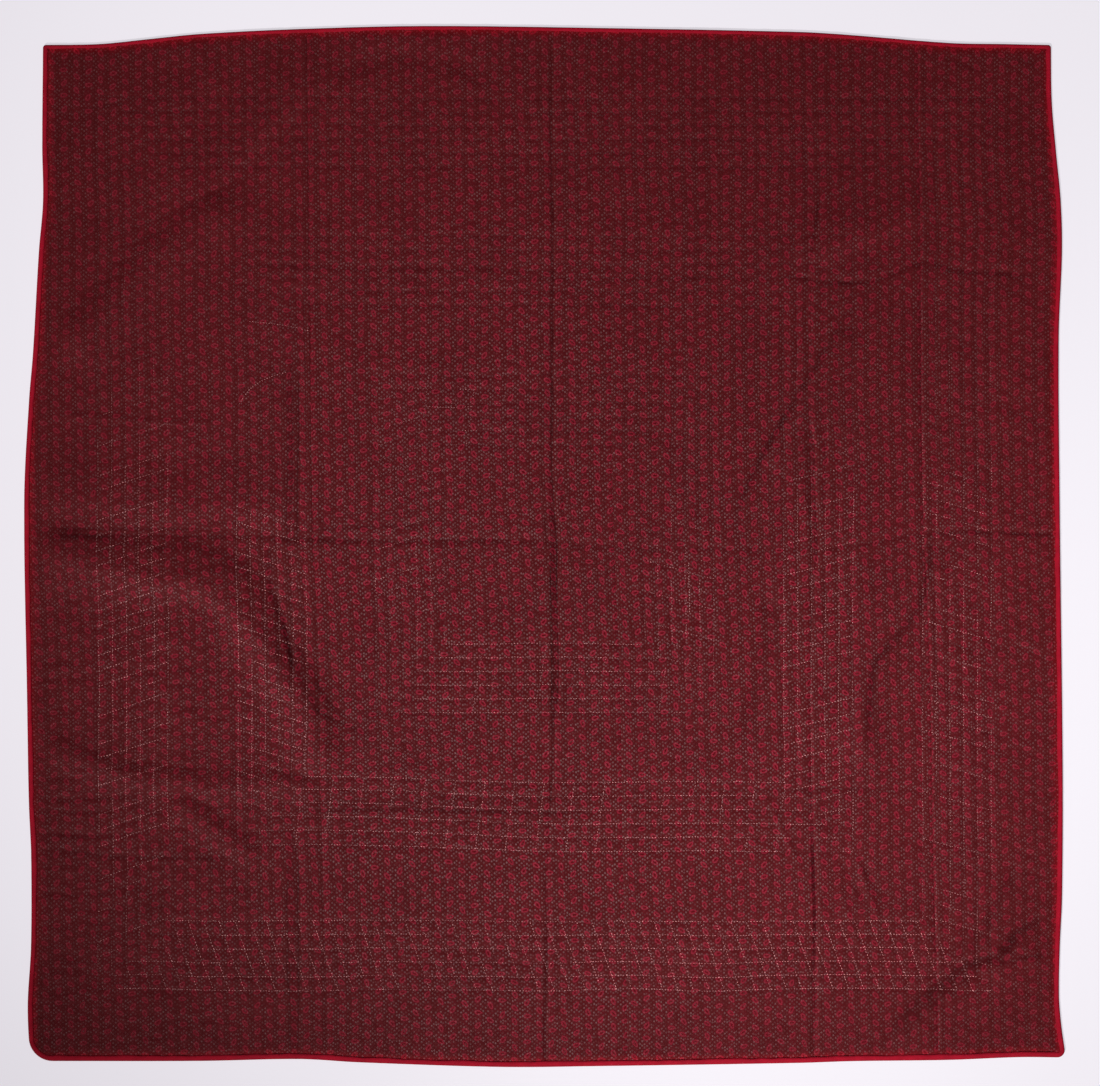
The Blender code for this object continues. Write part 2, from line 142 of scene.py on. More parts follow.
# The cross lines of each side of each frame: how far they drift along the side for each metre outward,
# their spacing, how pale they are beside the long lines, and how pale the thread shows there, by the place
# along the side
Band = namedtuple("Band", "frame side slant pitch cross pale")
BANDS = (
    Band(0, "near", -0.14, 31, 0.55, ((-340, 0.2), (-220, 0.9), (0, 0.9), (170, 0.8), (340, 0.3))),
    Band(0, "right", -0.27, 31, 1, ((-340, 0.4), (-200, 0.6), (-20, 0.6), (100, 0.2), (340, 0.1))),
    Band(0, "far", 0.14, 31, 0.8, ((-340, 0.2), (-260, 0.5), (-100, 0.5), (0, 0.1), (340, 0))),
    Band(0, "left", -0.33, 30, 1, ((-340, 0.2), (-200, 0.5), (-50, 0.6), (100, 0.4), (340, 0.4))),
    Band(1, "near", -0.15, 60, 0.9, ((-610, 0.3), (-480, 0.9), (-100, 1), (300, 1), (610, 0.7))),
    Band(1, "right", 0.24, 31, 1.2, ((-610, 0.5), (-400, 0.8), (0, 0.7), (200, 0.3), (610, 0))),
    Band(1, "far", 0.15, 60, 0.8, ((-610, 0), (0, 0.04), (610, 0))),
    Band(1, "left", 0.33, 30, 1.2, ((-610, 0.2), (-450, 0.8), (30, 0.8), (120, 0.2), (610, 0))),
    Band(2, "near", 0.36, 31, 1.1, ((-890, 0.5), (-600, 1), (-200, 0.75), (200, 1), (890, 1))),
    Band(2, "right", -0.27, 31, 1.1, ((-890, 0.6), (-400, 0.7), (0, 0.7), (300, 0.4), (890, 0))),
    Band(2, "far", -0.3, 31, 0.8, ((-890, 0), (0, 0.03), (890, 0))),
    Band(2, "left", -0.33, 30, 1.1, ((-890, 0.4), (-500, 0.8), (0, 0.8), (250, 0.4), (890, 0))),
)

NEAR_DRIFT = 0.015  # how far the near side of the second frame climbs towards the left
DRIFT_LEFT = (-0.05, 0.50)  # between these places to the left
DRIFT_NEAR = 0.53  # how far to the near side it is strongest
DRIFT_REACH = 0.24

# The cables quilted between the frames and in the border: the middle of the cable as half the side of
# its square, how far its strands swing, and the length of one swing
Cable = namedtuple("Cable", "half swing length")
CABLES = (
    Cable(407.5, 30, 135),
    Cable(685, 30, 135),
    Cable(954, 22, 96),
)
CABLE_LINES = (-1.5, -0.5, 0.5, 1.5)
CABLE_PITCH = 0.0095
CABLE_DEPTH = 0.0007
CABLE_WIDTH = 0.0040
CABLE_CROSSING = 1.2  # how fast a strand goes from below to above

# Where the cloth lies off the surface. The slopes fall to the left and the right of the route, seen
# along it. These are the part's own lifts.
Lift = namedtuple("Lift", "name rise left right route")
LIFTS = (
    Lift("far_left_ridge", 8, 100, 55, ((-680, 665), (-790, 570), (-930, 425))),
    Lift("far_left_step", 4, 35, 120, ((-470, 920), (-580, 820), (-690, 715))),
    Lift("fold_welt", 4, 100, 56, ((-970, 100), (-750, 90), (-550, 85))),
    Lift("left_bubble", 11, 90, 65, (
        (-455, -400), (-482, -313), (-526, -240), (-570, -163), (-614, -90), (-680, -55), (-778, -43),
        (-886, -33), (-960, -15),
    )),
    Lift("left_ridge", 5, 36, 50, ((-970, -407), (-850, -451), (-720, -470), (-490, -475))),
    Lift("low_bump", 5, 50, 35, ((-600, -607), (-720, -517))),
    Lift("right_ridge", 5, 90, 45, ((540, 593), (634, 629), (730, 661))),
    Lift("slant_ridge", 4, 60, 28, ((596, 407), (546, 331), (502, 263), (456, 185))),
    Lift("right_wrinkle", 4, 50, 60, ((770, -50), (650, -250), (640, -400))),
    Lift("near_right_ridge", 4, 90, 32, ((960, -800), (860, -860), (770, -920), (720, -980))),
)
ROUTE_STEP = 0.030
LIFT_STEP = 0.045
EDGE_REST = 0.060  # the border that lies flat all round
UNDERSIDE_SLACK = 0.0010
UNEVEN = 0.35  # the share by which the depth of creases, folds and quilting changes from place to place
FOLD_UNEVEN = 0.30
CREASE_SEED = 300  # the first seed of the soft noise for each kind of unevenness
WANDER_SEED = 400
FOLD_SEED = 420
FRAME_SEED = 500
CREASE_END = 0.2  # the share of its length over which a crease fades out
CREASE_BUMPS = 0.030  # the size of the unevenness
WANDER_BUMPS = 0.060
FOLD_BUMPS = 0.035
FRAME_BUMPS = 0.020

# Soft creases, as troughs: how deep (a ridge where it is below 0), how wide from the middle to the plain
# cloth, the share of the light that is lost in their tight bottoms, and their route
Crease = namedtuple("Crease", "name depth width shade route")
CREASES = (
    Crease("bubble_crest", -3.8, 38, 0, (
        (-900, -60), (-780, -68), (-685, -84), (-622, -128), (-566, -198), (-527, -276), (-500, -370),
    )),
    Crease("bubble_foot", -1.8, 30, 0, (
        (-1040, 20), (-900, 8), (-800, 0), (-720, -6), (-655, -18), (-610, -48), (-570, -110),
    )),
    Crease("bubble_edge", 2.2, 14, 0.14, (
        (-552, 35), (-550, -30), (-548, -70), (-524, -140), (-506, -210), (-478, -268), (-453, -320),
        (-425, -355),
    )),
    Crease("bubble_top_line", 1.2, 8, 0.26, ((-553, 20), (-551, -20), (-549, -70), (-540, -112))),
    Crease("bubble_middle_line", 1, 7, 0.28, ((-526, -130), (-516, -170), (-508, -215), (-500, -268))),
    Crease("bubble_low_line", 1, 7, 0.26, (
        (-484, -262), (-472, -295), (-455, -325), (-400, -355), (-345, -378),
    )),
    Crease("bubble_branch", 1.2, 9, 0.14, ((-512, -170), (-470, -240), (-430, -310), (-380, -350))),
    Crease("level_line_a", 1.2, 6, 0.16, ((-1010, 39), (-930, 37), (-810, 36), (-690, 35), (-650, 33))),
    Crease("level_line_b", 1.2, 6, 0.14, (
        (-1010, 26), (-930, 24), (-810, 23), (-690, 22), (-570, 20), (-430, 19), (-340, 20),
    )),
    Crease("level_line_c", 0.8, 6, 0.15, (
        (-620, 16), (-540, 14), (-400, 12), (-190, 15), (-70, 13), (20, 13),
    )),
    Crease("level_line_d", 0.9, 6, 0.16, ((-500, 33), (-430, 36), (-310, 43), (-220, 46))),
    Crease("level_line_e", 0.8, 6, 0.12, ((-760, 47), (-700, 46), (-640, 48), (-590, 52))),
    Crease("far_left_valley", 0.9, 22, 0, (
        (-390, 957), (-454, 903), (-510, 837), (-600, 747), (-690, 670),
    )),
    Crease("far_arc", 2.4, 36, 0, ((-450, 915), (-396, 955), (-290, 981), (-180, 965), (-80, 925))),
    Crease("slant_crease", 1.8, 11, 0.2, (
        (640, 510), (576, 419), (528, 341), (487, 272), (441, 194), (400, 108), (374, 45),
    )),
    Crease("slant_low", 1, 9, 0.32, ((515, 318), (487, 272), (441, 194), (408, 125), (374, 45))),
    Crease("near_line", 1.3, 7, 0.26, (
        (-545, -523), (-470, -527), (-300, -525), (-100, -529), (30, -531), (120, -528),
    )),
    Crease("near_line_far", 1, 6, 0.16, (
        (-480, -508), (-370, -511), (-240, -512), (-150, -515), (-60, -511),
    )),
    Crease("right_crease", 2.4, 14, 0.28, (
        (767, 60), (769, -33), (756, -111), (706, -178), (662, -231), (654, -289), (644, -430),
    )),
    Crease("near_right_crease", 3, 17, 0.3, (
        (1021, -724), (944, -773), (910, -818), (848, -833), (792, -879), (748, -905), (670, -1005),
    )),
    Crease("near_right_slope", 1.2, 22, 0.13, (
        (890, -842), (859, -847), (803, -891), (759, -917), (690, -1010),
    )),
    Crease("near_right_branch", 1.4, 10, 0.2, ((1010, -813), (954, -821), (895, -834))),
    Crease("near_right_soft", 2, 20, 0.12, ((950, -630), (892, -745), (848, -815))),
    Crease("low_curve", 1.3, 10, 0.17, ((-995, -606), (-832, -621), (-702, -621), (-590, -628))),
    Crease("soft_hollow", 3, 34, 0.1, ((440, -60), (456, -187), (424, -297), (395, -410))),
    Crease("low_dash_a", 1.4, 8, 0.1, ((145, -512), (220, -519), (305, -508))),
    Crease("low_dash_b", 1, 8, 0.06, ((180, -427), (240, -421), (300, -432))),
    Crease("corner_dash", 1.2, 7, 0.08, ((-925, 877), (-880, 883), (-835, 890))),
    Crease("knot_left", 1.2, 8, 0.1, ((8, 88), (2, 45), (10, -5))),
    Crease("knot_right", 1.8, 9, 0.14, ((10, 88), (19, 62), (32, 30))),
    Crease("knot_far", 1.6, 7, 0.1, ((36, 118), (38, 90), (34, 60))),
    Crease("pucker_a", 1.4, 8, 0.05, ((570, -607), (612, -660), (640, -715))),
    Crease("pucker_b", 1.2, 8, 0.05, ((610, -600), (650, -655), (672, -700))),
    Crease("pucker_c", -1.5, 9, 0, ((445, -505), (480, -577), (515, -655))),
    Crease("pucker_d", -1.5, 9, 0, ((605, -570), (638, -667), (675, -765))),
    Crease("pucker_e", -1.1, 8, 0, ((580, -650), (610, -747), (650, -850))),
    Crease("far_right_fold", 2, 8, 0.1, ((554, 715), (542, 629), (526, 545))),
    Crease("border_line", -1.2, 10, 0, ((-1010, 262), (-900, 258), (-730, 246), (-600, 253))),
    Crease("border_pucker_a", 1.3, 9, 0.05, ((-1015, -500), (-930, -503), (-800, -496))),
    Crease("border_pucker_b", 1.3, 9, 0.05, ((-1010, -524), (-920, -530), (-840, -524))),
    Crease("border_pucker_c", 1.3, 9, 0.06, ((-1005, -573), (-910, -578), (-800, -572))),
    Crease("border_pucker_d", 1.3, 9, 0.05, ((-1010, -690), (-930, -696), (-860, -688))),
)

# The folds that storage pressed in, along x or along y: rows of (place along, place across, depth, width
# of the slope on the lower side, width of the slope on the higher side)
Fold = namedtuple("Fold", "axis rows")
FOLDS = (
    Fold(0, (
        (-1040, 30, 0.6, 12, 20), (-800, 28, 0.9, 12, 24), (-600, 26, 1, 14, 26), (-500, 22, 0.9, 12, 18),
        (-300, 13, 1, 14, 14), (0, 13, 1, 12, 14), (150, 0, 0.8, 12, 12), (500, -4, 0.8, 12, 12),
        (620, 4, 0.9, 10, 12), (780, 30, 1.2, 8, 12), (900, 31, 2, 7, 9), (1050, 25, 1.5, 7, 9),
    )),
    Fold(0, (
        (-1040, 572, 0.3, 8, 16), (-800, 570, 0.5, 10, 16), (-580, 565, 0.7, 9, 10),
        (-450, 559, 1.4, 13, 8), (-250, 559, 1.5, 13, 8), (0, 556, 1.2, 13, 9), (80, 552, 0.7, 9, 16),
        (300, 548, 0.6, 9, 14), (480, 545, 0.6, 9, 12), (560, 531, 1.4, 8, 12), (640, 530, 2.2, 8, 12),
        (700, 548, 1, 9, 12), (760, 572, 1.6, 10, 12), (820, 556, 2, 10, 14), (930, 547, 1.8, 10, 12),
        (1000, 545, 0.6, 9, 10), (1050, 540, 0.2, 9, 10),
    )),
    Fold(0, (
        (-1040, -490, 0.1, 10, 12), (-550, -496, 0.3, 10, 12), (-460, -503, 0.7, 9, 10),
        (-200, -503, 0.7, 9, 10), (0, -500, 0.9, 10, 10), (100, -489, 1.1, 10, 9), (520, -486, 1.2, 10, 9),
        (620, -484, 1.2, 9, 10), (720, -485, 0.6, 10, 12), (1050, -490, 0.2, 10, 12),
    )),
    Fold(1, (
        (-1060, -494, 0.8, 14, 10), (-900, -493, 1.6, 20, 11), (-860, -493, 2, 22, 16),
        (-660, -493, 2.1, 22, 16), (-610, -497, 1.8, 18, 11), (-560, -506, 0.8, 10, 9),
        (-400, -510, 0.3, 8, 7), (0, -502, 0.7, 12, 10), (30, -493, 2.1, 22, 16), (130, -495, 2.2, 20, 16),
        (250, -493, 2.1, 22, 16), (330, -491, 1.8, 22, 14), (380, -492, 0.7, 12, 10),
        (1040, -490, 0.3, 10, 7),
    )),
    Fold(1, (
        (-1060, 2, 1.4, 8, 8), (-870, 3, 1.6, 8, 8), (-750, 4, 1.3, 8, 8), (-600, 6, 1, 8, 8),
        (-450, 16, 1.5, 7, 7), (-350, 18, 1.7, 8, 7), (-300, 27, 2.8, 13, 8), (-50, 25, 3.6, 13, 7),
        (40, 23, 2.8, 12, 7), (150, 16, 1.8, 8, 7), (600, 16, 1.8, 8, 7), (800, 15, 1.4, 8, 7),
        (950, 14, 1.1, 9, 7), (1050, 14, 0.8, 9, 7),
    )),
    Fold(1, (
        (-1060, 540, 1, 10, 10), (-900, 540, 1.4, 10, 11), (-810, 541, 2.8, 8, 9), (-620, 538, 3, 8, 9),
        (-560, 536, 1.2, 9, 9), (-300, 532, 0.6, 9, 7), (-60, 538, 1, 10, 7), (-10, 543, 1.8, 12, 10),
        (80, 542, 1.9, 14, 10), (140, 538, 2.1, 26, 10), (210, 535, 2, 26, 10), (270, 526, 0.8, 12, 7),
        (1040, 520, 0.3, 10, 7),
    )),
)
FOLD_SHADE = 60.0  # the share of the light that is lost in a fold's bottom, for each metre of its depth
CREVICE_WIDTH = 0.007
BAND_SHADE = 30.0  # the same on the gentle slope of an upright fold
PINCH_SHADE = 100.0  # the same in the two thin lines where it pinches the cloth
PINCH_WIDTH = 0.0027
PINCH_BOTTOM = 0.0007  # how far the line in the bottom lies to the lower side
PINCH_SLOPE = (-1.15, -0.85)  # where the shade of the gentle slope starts, in widths of that slope
PINCH_RIM = 0.003  # and how far from the bottom it ends
WIDE_SLOPE = (0.009, 0.013)  # from a narrow slope to a wide one, whose two lines are darker
WIDE_BOTTOM = 0.3
WIDE_TOP = 1.3

FOLD_WANDER = 0.0020
WELT_SHARE = 0.14  # of a fold's depth, for the low welts on its two sides
WELT_PLACE = 1.4  # in widths of the slope
WELT_WIDTH = 1.1
FINE_REACH = 0.024  # how far the grid is finer on both sides of an upright fold
FINE_COLUMNS = 44

# The binding
BINDING_WIDTH = 0.0095
BINDING_SECTION = (  # (distance in, height), from its upper inner edge round to its lower one
    (9.4, 3), (10.4, 3.3), (10.7, 3.8), (10.1, 4.5), (8.6, 4.9), (6, 5), (3.4, 4.9), (1.5, 4.5), (0.4, 3.6),
    (0, 2.3), (0.4, 1.1), (1.4, 0.3), (3, 0), (8.5, 0), (9.2, 0.9),
)
BINDING_TOP = 0.0051
BINDING_HIGHLIGHT_PLACE = 0.0054  # how far in from the outer edge the binding's painted highlight is palest
BINDING_WOBBLE = 0.0007
BINDING_WAVES = ((31, 0.021), (32, 0.075))  # of its width: the seed and the length of each
BINDING_PLUMP = 0.07  # the share by which its height changes from place to place
PLUMP_WAVE = (33, 0.016)
BINDING_SHARES = (1.08, 0.95, 0.72, 1.00)  # of its width, along each of the sides
BLEED_REACH = 0.018  # how far the red of the binding has bled into the cloth beside it
BLEED = (1.95, 0.60, 0.85)

# The stitches
STITCH_PITCH = 0.0056
STITCH_LENGTH = 0.0027
STITCH_WIDTH = 0.0014
STITCH_RISE = 0.0005
STITCH_SINK = 0.0003
STITCH_SLIP = 0.0006  # how far a stitch lies from its even place along the line, at most
STITCH_STRAY = 0.0003  # and usually beside it
STITCH_TURN = 0.10  # how far it usually turns from the line
STITCH_TONES = (0.15, 1.05)  # from the darkest to the palest, as shares
STITCH_SHARES = (0.80, 1.15)  # from the shortest to the longest
STITCH_PATCH = 0.03  # the length of the pale and dark patches of a line
LONG_PATCH = 0.11
LONG_PATCH_SHARE = 0.6
CROSS_PATCH_SHARE = 0.7
CROSS_TONES = (-1.1, 0.9)  # from the darkest cross line to the palest
PALE_WEIGHT = 1.5  # whether a stitch shows: the weights of the two shares, and from where to where it grows
PATCH_WEIGHT = 0.65
SHOWN_FROM = (0.6, 1.2)
SEEDS = 10**6
RIDGE_SHARE = 0.7
LEAST_STITCH_HEIGHT = 0.0002
STITCH_FACES = ((0, 3, 2, 1), (0, 1, 5, 4), (2, 3, 4, 5), (1, 2, 5), (3, 0, 4))

# Lines of stitches that belong to no frame: how pale they show, and their route
Stray = namedtuple("Stray", "name pale route")
STRAYS = (
    Stray("left_arc", 0.7, ((-614, 283), (-590, 316), (-556, 336), (-516, 347))),
    Stray("left_line", 0.6, ((-590, 451), (-530, 443), (-470, 429))),
    Stray("right_upright", 0.75, ((289, -27), (290, -80), (289, -131))),
    Stray("middle_dash", 0.55, ((-242, 281), (-190, 280), (-144, 281))),
)

# Soft random bumps: their height, the seed of the draw and their size both ways. Some have their own area,
# from where it starts to where it is full.
Bumps = namedtuple("Bumps", "height seed x_size y_size")
SHIFT_RIGHT = (Bumps(3, 11, 220, 160), Bumps(0.8, 12, 50, 50))  # of the print and the quilting
SHIFT_FAR = (Bumps(3, 13, 160, 220), Bumps(0.8, 14, 50, 50))
PUFFS = (Bumps(0.55, 21, 60, 45), Bumps(0.34, 22, 24, 17), Bumps(0.14, 23, 13, 8))
LEFT_PUFFS = (Bumps(0.8, 24, 60, 11),)
PUFFS_LEFT = (0.45, 0.70)
PUFFS_NEAR = (-0.30, 0.10)
RIGHT_PUFFS = (Bumps(0.6, 25, 60, 12),)
PUFFS_RIGHT = (0.66, 0.81)
RIGHT_SLANT = 0.35
MIDDLE_PUFFS = (Bumps(0.4, 26, 70, 10),)
PUFFS_MIDDLE = (-0.45, -0.30)

# The print
COLUMN_PITCH = 0.0245
ROW_PITCH = 0.0263
GROUND = (0.0755, 0.0052, 0.0068, 1)
STRIP = (0.0890, 0.0052, 0.0080, 1)
# The pale of the print's pin dots, partly a painted glint of the weave's threads
PALE_DOT_AND_GLINT = (0.1330, 0.0425, 0.0455, 1)
SEED = (0.2250, 0.0130, 0.0270, 1)
SEED_INSIDE = (0.1600, 0.0050, 0.0130, 1)
SEED_BAR = (0.0740, 0.0002, 0.0020, 1)
SEED_LONG = 0.0062  # half the length of a seed's outline, to the middle of its line
SEED_WIDE = 0.0036
SEED_TAPER = 28.0  # how much narrower a seed gets towards one end, for each metre
SEED_JITTER = (0.0022, 0.0030)  # how far seeds lie from even places, across and along
SEED_TURNS = ((-65, -35), (55, 8))  # degrees, in even and odd rows, for even and for odd columns
SEED_TURN_JITTER = 26
SEED_ROUGH = 0.90
SEED_NOISE = (480.0, 2.0)
SEED_LINE_RAMP = (0.06, 0.44, 1.0, 0.0)  # ramps: from, to, the level before and the level after
SEED_INSIDE_RAMP = (0.75, 1.05, 1.0, 0.0)
BAR_LONG = 0.0040
BAR_WIDE = 0.0010
BAR_RAMP = (0.70, 1.40, 1.0, 0.0)
STRIP_RAMP = (0.003, 0.0105)
DOT_COLUMNS = 5.0  # of pin dots, for each column of seeds
DOT_ROWS = 3.0
DOT_JITTER = 0.40
DOT_SHAPE = (0.38, 0.24)  # half the size of a dot, as shares of its column and row
DOT_RAMP = (0.55, 1.25, 1.0, 0.0)
DOT_LEAST = 0.15  # the strength of the weakest dot, and how much stronger the strongest is
DOT_SPREAD = 1.10
DOT_BASE = 0.65  # the share of a dot's strength in a strip, and how much more it is on the ground
DOT_GAIN = 0.25
ROW_OFFSET = 0.57
THREAD = 0.00045  # between two threads of the weave
THREAD_RELIEF = 0.00008
THREAD_BUMP = 0.5
FADE_NOISE = (9.0, 3.0)  # noises: their scale and detail
SLUB_NOISE = (420.0, 2.0)
SPECK_NOISE = (260.0, 1.0)
FADE_RAMP = (0.30, 0.70, 0.95, 1.05)
SLUB_RAMP = (0.30, 0.70, 0.86, 1.14)
SPECK_RAMP = (0.30, 0.70, 0.92, 1.08)
ROUGH_RAMP = (0.20, 0.80, 0.56, 0.66)
SLUB_STRETCH = 1.6
SLUB_BUMP = (0.0007, 0.8)
CLEAR_MIDDLE = (0.05, -0.20, 0.0)  # the print is clear round here and more faded towards the edges
CLEAR_REACH = 0.35
FADED_REACH = 1.25
FADED = 0.55
CLEAR_DOTS = 1.25
CLOTH_GLOSS = 0.05
DOT_GLOSS = 0.25

# The plain colours, each from dark to pale
BINDING_RED = ((0.215, 0.0016, 0.0100, 1), (0.370, 0.0038, 0.0185, 1))
FRONT_RED = ((0.135, 0.020, 0.018, 1), (0.175, 0.028, 0.024, 1))
THREAD_COLOURS = ((0.070, 0.004, 0.007, 1), (0.95, 0.42, 0.42, 1))
PLAIN_RAMP = (0.3, 0.7)
FRONT_NOISE = (12.0, 3.0)
BINDING_NOISE = (55.0, 3.0)
BINDING_THREAD = THREAD * 1.4
PATCH_SHARE = 0.35  # how much the noise and the painted highlight along the crest make the binding paler
HIGHLIGHT_SHARE = 0.70
SOFT_NOISE = (400.0, 2.0)
SOFT_BUMP = (0.0004, 0.5)
FLOOR_COLOUR = (0.26, 0.25, 0.26, 1)
FLOOR_GLOW = (0.630, 0.600, 0.650, 1)
FLOOR_HALF = 6.0

# The light: two soft spot lamps side by side beyond the near left corner, and a pale surrounding that is
# darker overhead
LAMP_PLACE = (-2.86, -5.02, 4.95)
LAMP_RADIUS = 0.35
Lamp = namedtuple("Lamp", "name aim cone power")
LAMPS = (
    Lamp("far_beam", (0.58, 1.27, 0.0), math.radians(33.3), 3394),
    Lamp("right_beam", (1.43, -1.29, 0.0), math.radians(28.9), 2156),
)
FILL_OVERHEAD = 0.03
FILL_LEVEL = 0.354
FILL_COLOUR = (0.97, 0.97, 1.0, 1)

FLOOR_DROP = 0.0005  # so that the floor and the quilt's underside don't lie in one plane

# The camera looks straight down on the middle of the picture
CAMERA_PLACE = (0.010, 0.007, 4.28)
CAMERA_LENS = 70.0
CAMERA_SENSOR = 36.0


def smooth_through(rows, places):
    """The values at places on a smooth curve through rows of (place, value), sorted by place."""
    knots = np.array([row[0] for row in rows])
    values = np.array([row[1] for row in rows])
    before = np.concatenate(([0], np.arange(len(rows) - 1)))
    after = np.concatenate((np.arange(1, len(rows)), [len(rows) - 1]))
    slopes = (values[after] - values[before]) / (knots[after] - knots[before])
    i = np.clip(np.searchsorted(knots, places) - 1, 0, len(rows) - 2)
    span = knots[i + 1] - knots[i]
    t = np.clip((places - knots[i]) / span, 0.0, 1.0)
    gain = values[i + 1] - values[i]
    start, end = slopes[i] * span, slopes[i + 1] * span
    return values[i] + t * (start + t * (3 * gain - 2 * start - end + t * (start + end - 2 * gain)))


def smooth_step(t):
    t = np.clip(t, 0.0, 1.0)
    return t * t * (3 - 2 * t)


def rise(value, start, end):
    """0 up to start and 1 from end on, with a smooth change between them."""
    return smooth_step((value - start) / (end - start))


def bell(t):
    """1 at 0, falling to 0 at 1."""
    return (1 + np.cos(math.pi * np.clip(t, 0.0, 1.0))) / 2


def lean(y):
    """How far the print's upright lines stand to the right."""
    return smooth_through(LEAN, y * MM) / MM


NOISE_CELLS = 256


def soft_noise(x, y, seed, x_size, y_size):
    """Smooth random values from -1 to 1 with bumps of about the given sizes."""
    grid = np.random.default_rng(seed).uniform(-1, 1, (NOISE_CELLS, NOISE_CELLS))
    gx, gy = np.asarray(x) / x_size + NOISE_CELLS / 2, np.asarray(y) / y_size + NOISE_CELLS / 2
    ix, iy = np.floor(gx).astype(int), np.floor(gy).astype(int)
    tx, ty = smooth_step(gx - ix), smooth_step(gy - iy)
    x0, x1 = ix % NOISE_CELLS, (ix + 1) % NOISE_CELLS
    y0, y1 = iy % NOISE_CELLS, (iy + 1) % NOISE_CELLS
    low = grid[y0, x0] * (1 - tx) + grid[y0, x1] * tx
    high = grid[y1, x0] * (1 - tx) + grid[y1, x1] * tx
    return low * (1 - ty) + high * ty


def bumps(table, x, y):
    """The sum of a table's soft random bumps."""
    return sum(b.height / MM * soft_noise(x, y, b.seed, b.x_size / MM, b.y_size / MM) for b in table)


def corner_place(index):
    corner = CORNERS[index % len(CORNERS)]
    return np.array((corner.x, corner.y)) / MM


class SideFrame:
    """Where a side starts, the directions along it and out of it, its length and its waves."""

    def __init__(self, index):
        self.start = corner_place(index)
        chord = corner_place(index + 1) - self.start
        self.length = float(np.hypot(*chord))
        self.along = chord / self.length
        self.outward = np.array((self.along[1], -self.along[0]))
        side = SIDES[index]
        rows = [(abs(place / MM - self.start[side.axis]), out / MM) for place, out in side.waves]
        self.waves = [(0.0, 0.0)] + rows + [(self.length, 0.0)]

    def points(self, distances, inset):
        """Points on the side, moved in."""
        out = smooth_through(self.waves, distances) - inset
        return self.start + np.outer(distances, self.along) + out[:, None] * self.outward


SIDE_FRAMES = [SideFrame(i) for i in range(len(SIDES))]


def inset_corner(index, inset):
    """Where the two sides at a corner meet once both are moved in."""
    before, after = SIDE_FRAMES[index - 1].outward, SIDE_FRAMES[index].outward
    area = before[0] * after[1] - before[1] * after[0]
    return corner_place(index) - inset / area * np.array((after[1] - before[1], before[0] - after[0]))


def corner_span(index, inset):
    """(where a moved-in corner lies along the side before it and the side after it, its radius)."""
    tip = inset_corner(index, inset)
    before, after = SIDE_FRAMES[index - 1], SIDE_FRAMES[index]
    radius = max(CORNERS[index].radius / MM - inset, LEAST_RADIUS)
    return float((tip - before.start) @ before.along), float((tip - after.start) @ after.along), radius


def corner_arc(index, inset):
    """Points round a corner of the moved-in outline."""
    on_before, on_after, radius = corner_span(index, inset)
    tip = inset_corner(index, inset)
    to_before = SIDE_FRAMES[index - 1].points(np.array([on_before - radius]), inset)[0] - tip
    to_after = SIDE_FRAMES[index].points(np.array([on_after + radius]), inset)[0] - tip
    turns = np.linspace(0, math.pi / 2, CORNER_STEPS + 1)
    return tip + np.outer(1 - np.sin(turns), to_before) + np.outer(1 - np.cos(turns), to_after)


def side_run(index, inset, step):
    """Points along a side of the moved-in outline, between its two corner arcs."""
    _, on_after, radius = corner_span(index, inset)
    next_corner, _, next_radius = corner_span((index + 1) % len(CORNERS), inset)
    count = round(SIDE_FRAMES[index].length / step)
    return SIDE_FRAMES[index].points(np.linspace(on_after + radius, next_corner - next_radius, count), inset)


def ring(inset, step=OUTLINE_STEP):
    """The outline moved in, as a closed run of points. Every ring of one step has as many points."""
    runs = []
    for i in range(len(CORNERS)):
        runs += [corner_arc(i, inset)[:-1], side_run(i, inset, step)]
    return np.concatenate(runs)


def edge_curve(index, inset, count):
    """Evenly spaced points from the middle of one corner arc to the middle of the next."""
    half = CORNER_STEPS // 2
    second = (index + 1) % len(CORNERS)
    points = np.concatenate((
        corner_arc(index, inset)[half:],
        side_run(index, inset, OUTLINE_STEP)[1:-1],
        corner_arc(second, inset)[:half + 1],
    ))
    lengths = np.concatenate(([0], np.cumsum(np.hypot(*np.diff(points, axis=0).T))))
    places = np.linspace(0, lengths[-1], count)
    return np.stack([np.interp(places, lengths, points[:, axis]) for axis in (0, 1)], axis=1)


OUTLINE = ring(0.0)
SHIFT = -(OUTLINE.min(axis=0) + OUTLINE.max(axis=0)) / 2


def edge_distance(x, y):
    """How far points lie in from the outline."""
    nearest = None
    for side in SIDE_FRAMES:
        from_x, from_y = x - side.start[0], y - side.start[1]
        out = smooth_through(side.waves, from_x * side.along[0] + from_y * side.along[1])
        distance = out - (from_x * side.outward[0] + from_y * side.outward[1])
        nearest = distance if nearest is None else np.minimum(nearest, distance)
    return nearest


def smooth_route(route, step=ROUTE_STEP):
    """Points along a smooth curve through a route."""
    places = np.array(route) / MM
    distances = np.concatenate(([0], np.cumsum(np.hypot(*np.diff(places, axis=0).T))))
    steps = np.linspace(0, distances[-1], max(round(distances[-1] / step), 2) + 1)
    curve = [smooth_through(list(zip(distances, places[:, axis])), steps) for axis in (0, 1)]
    return np.stack(curve, axis=1)


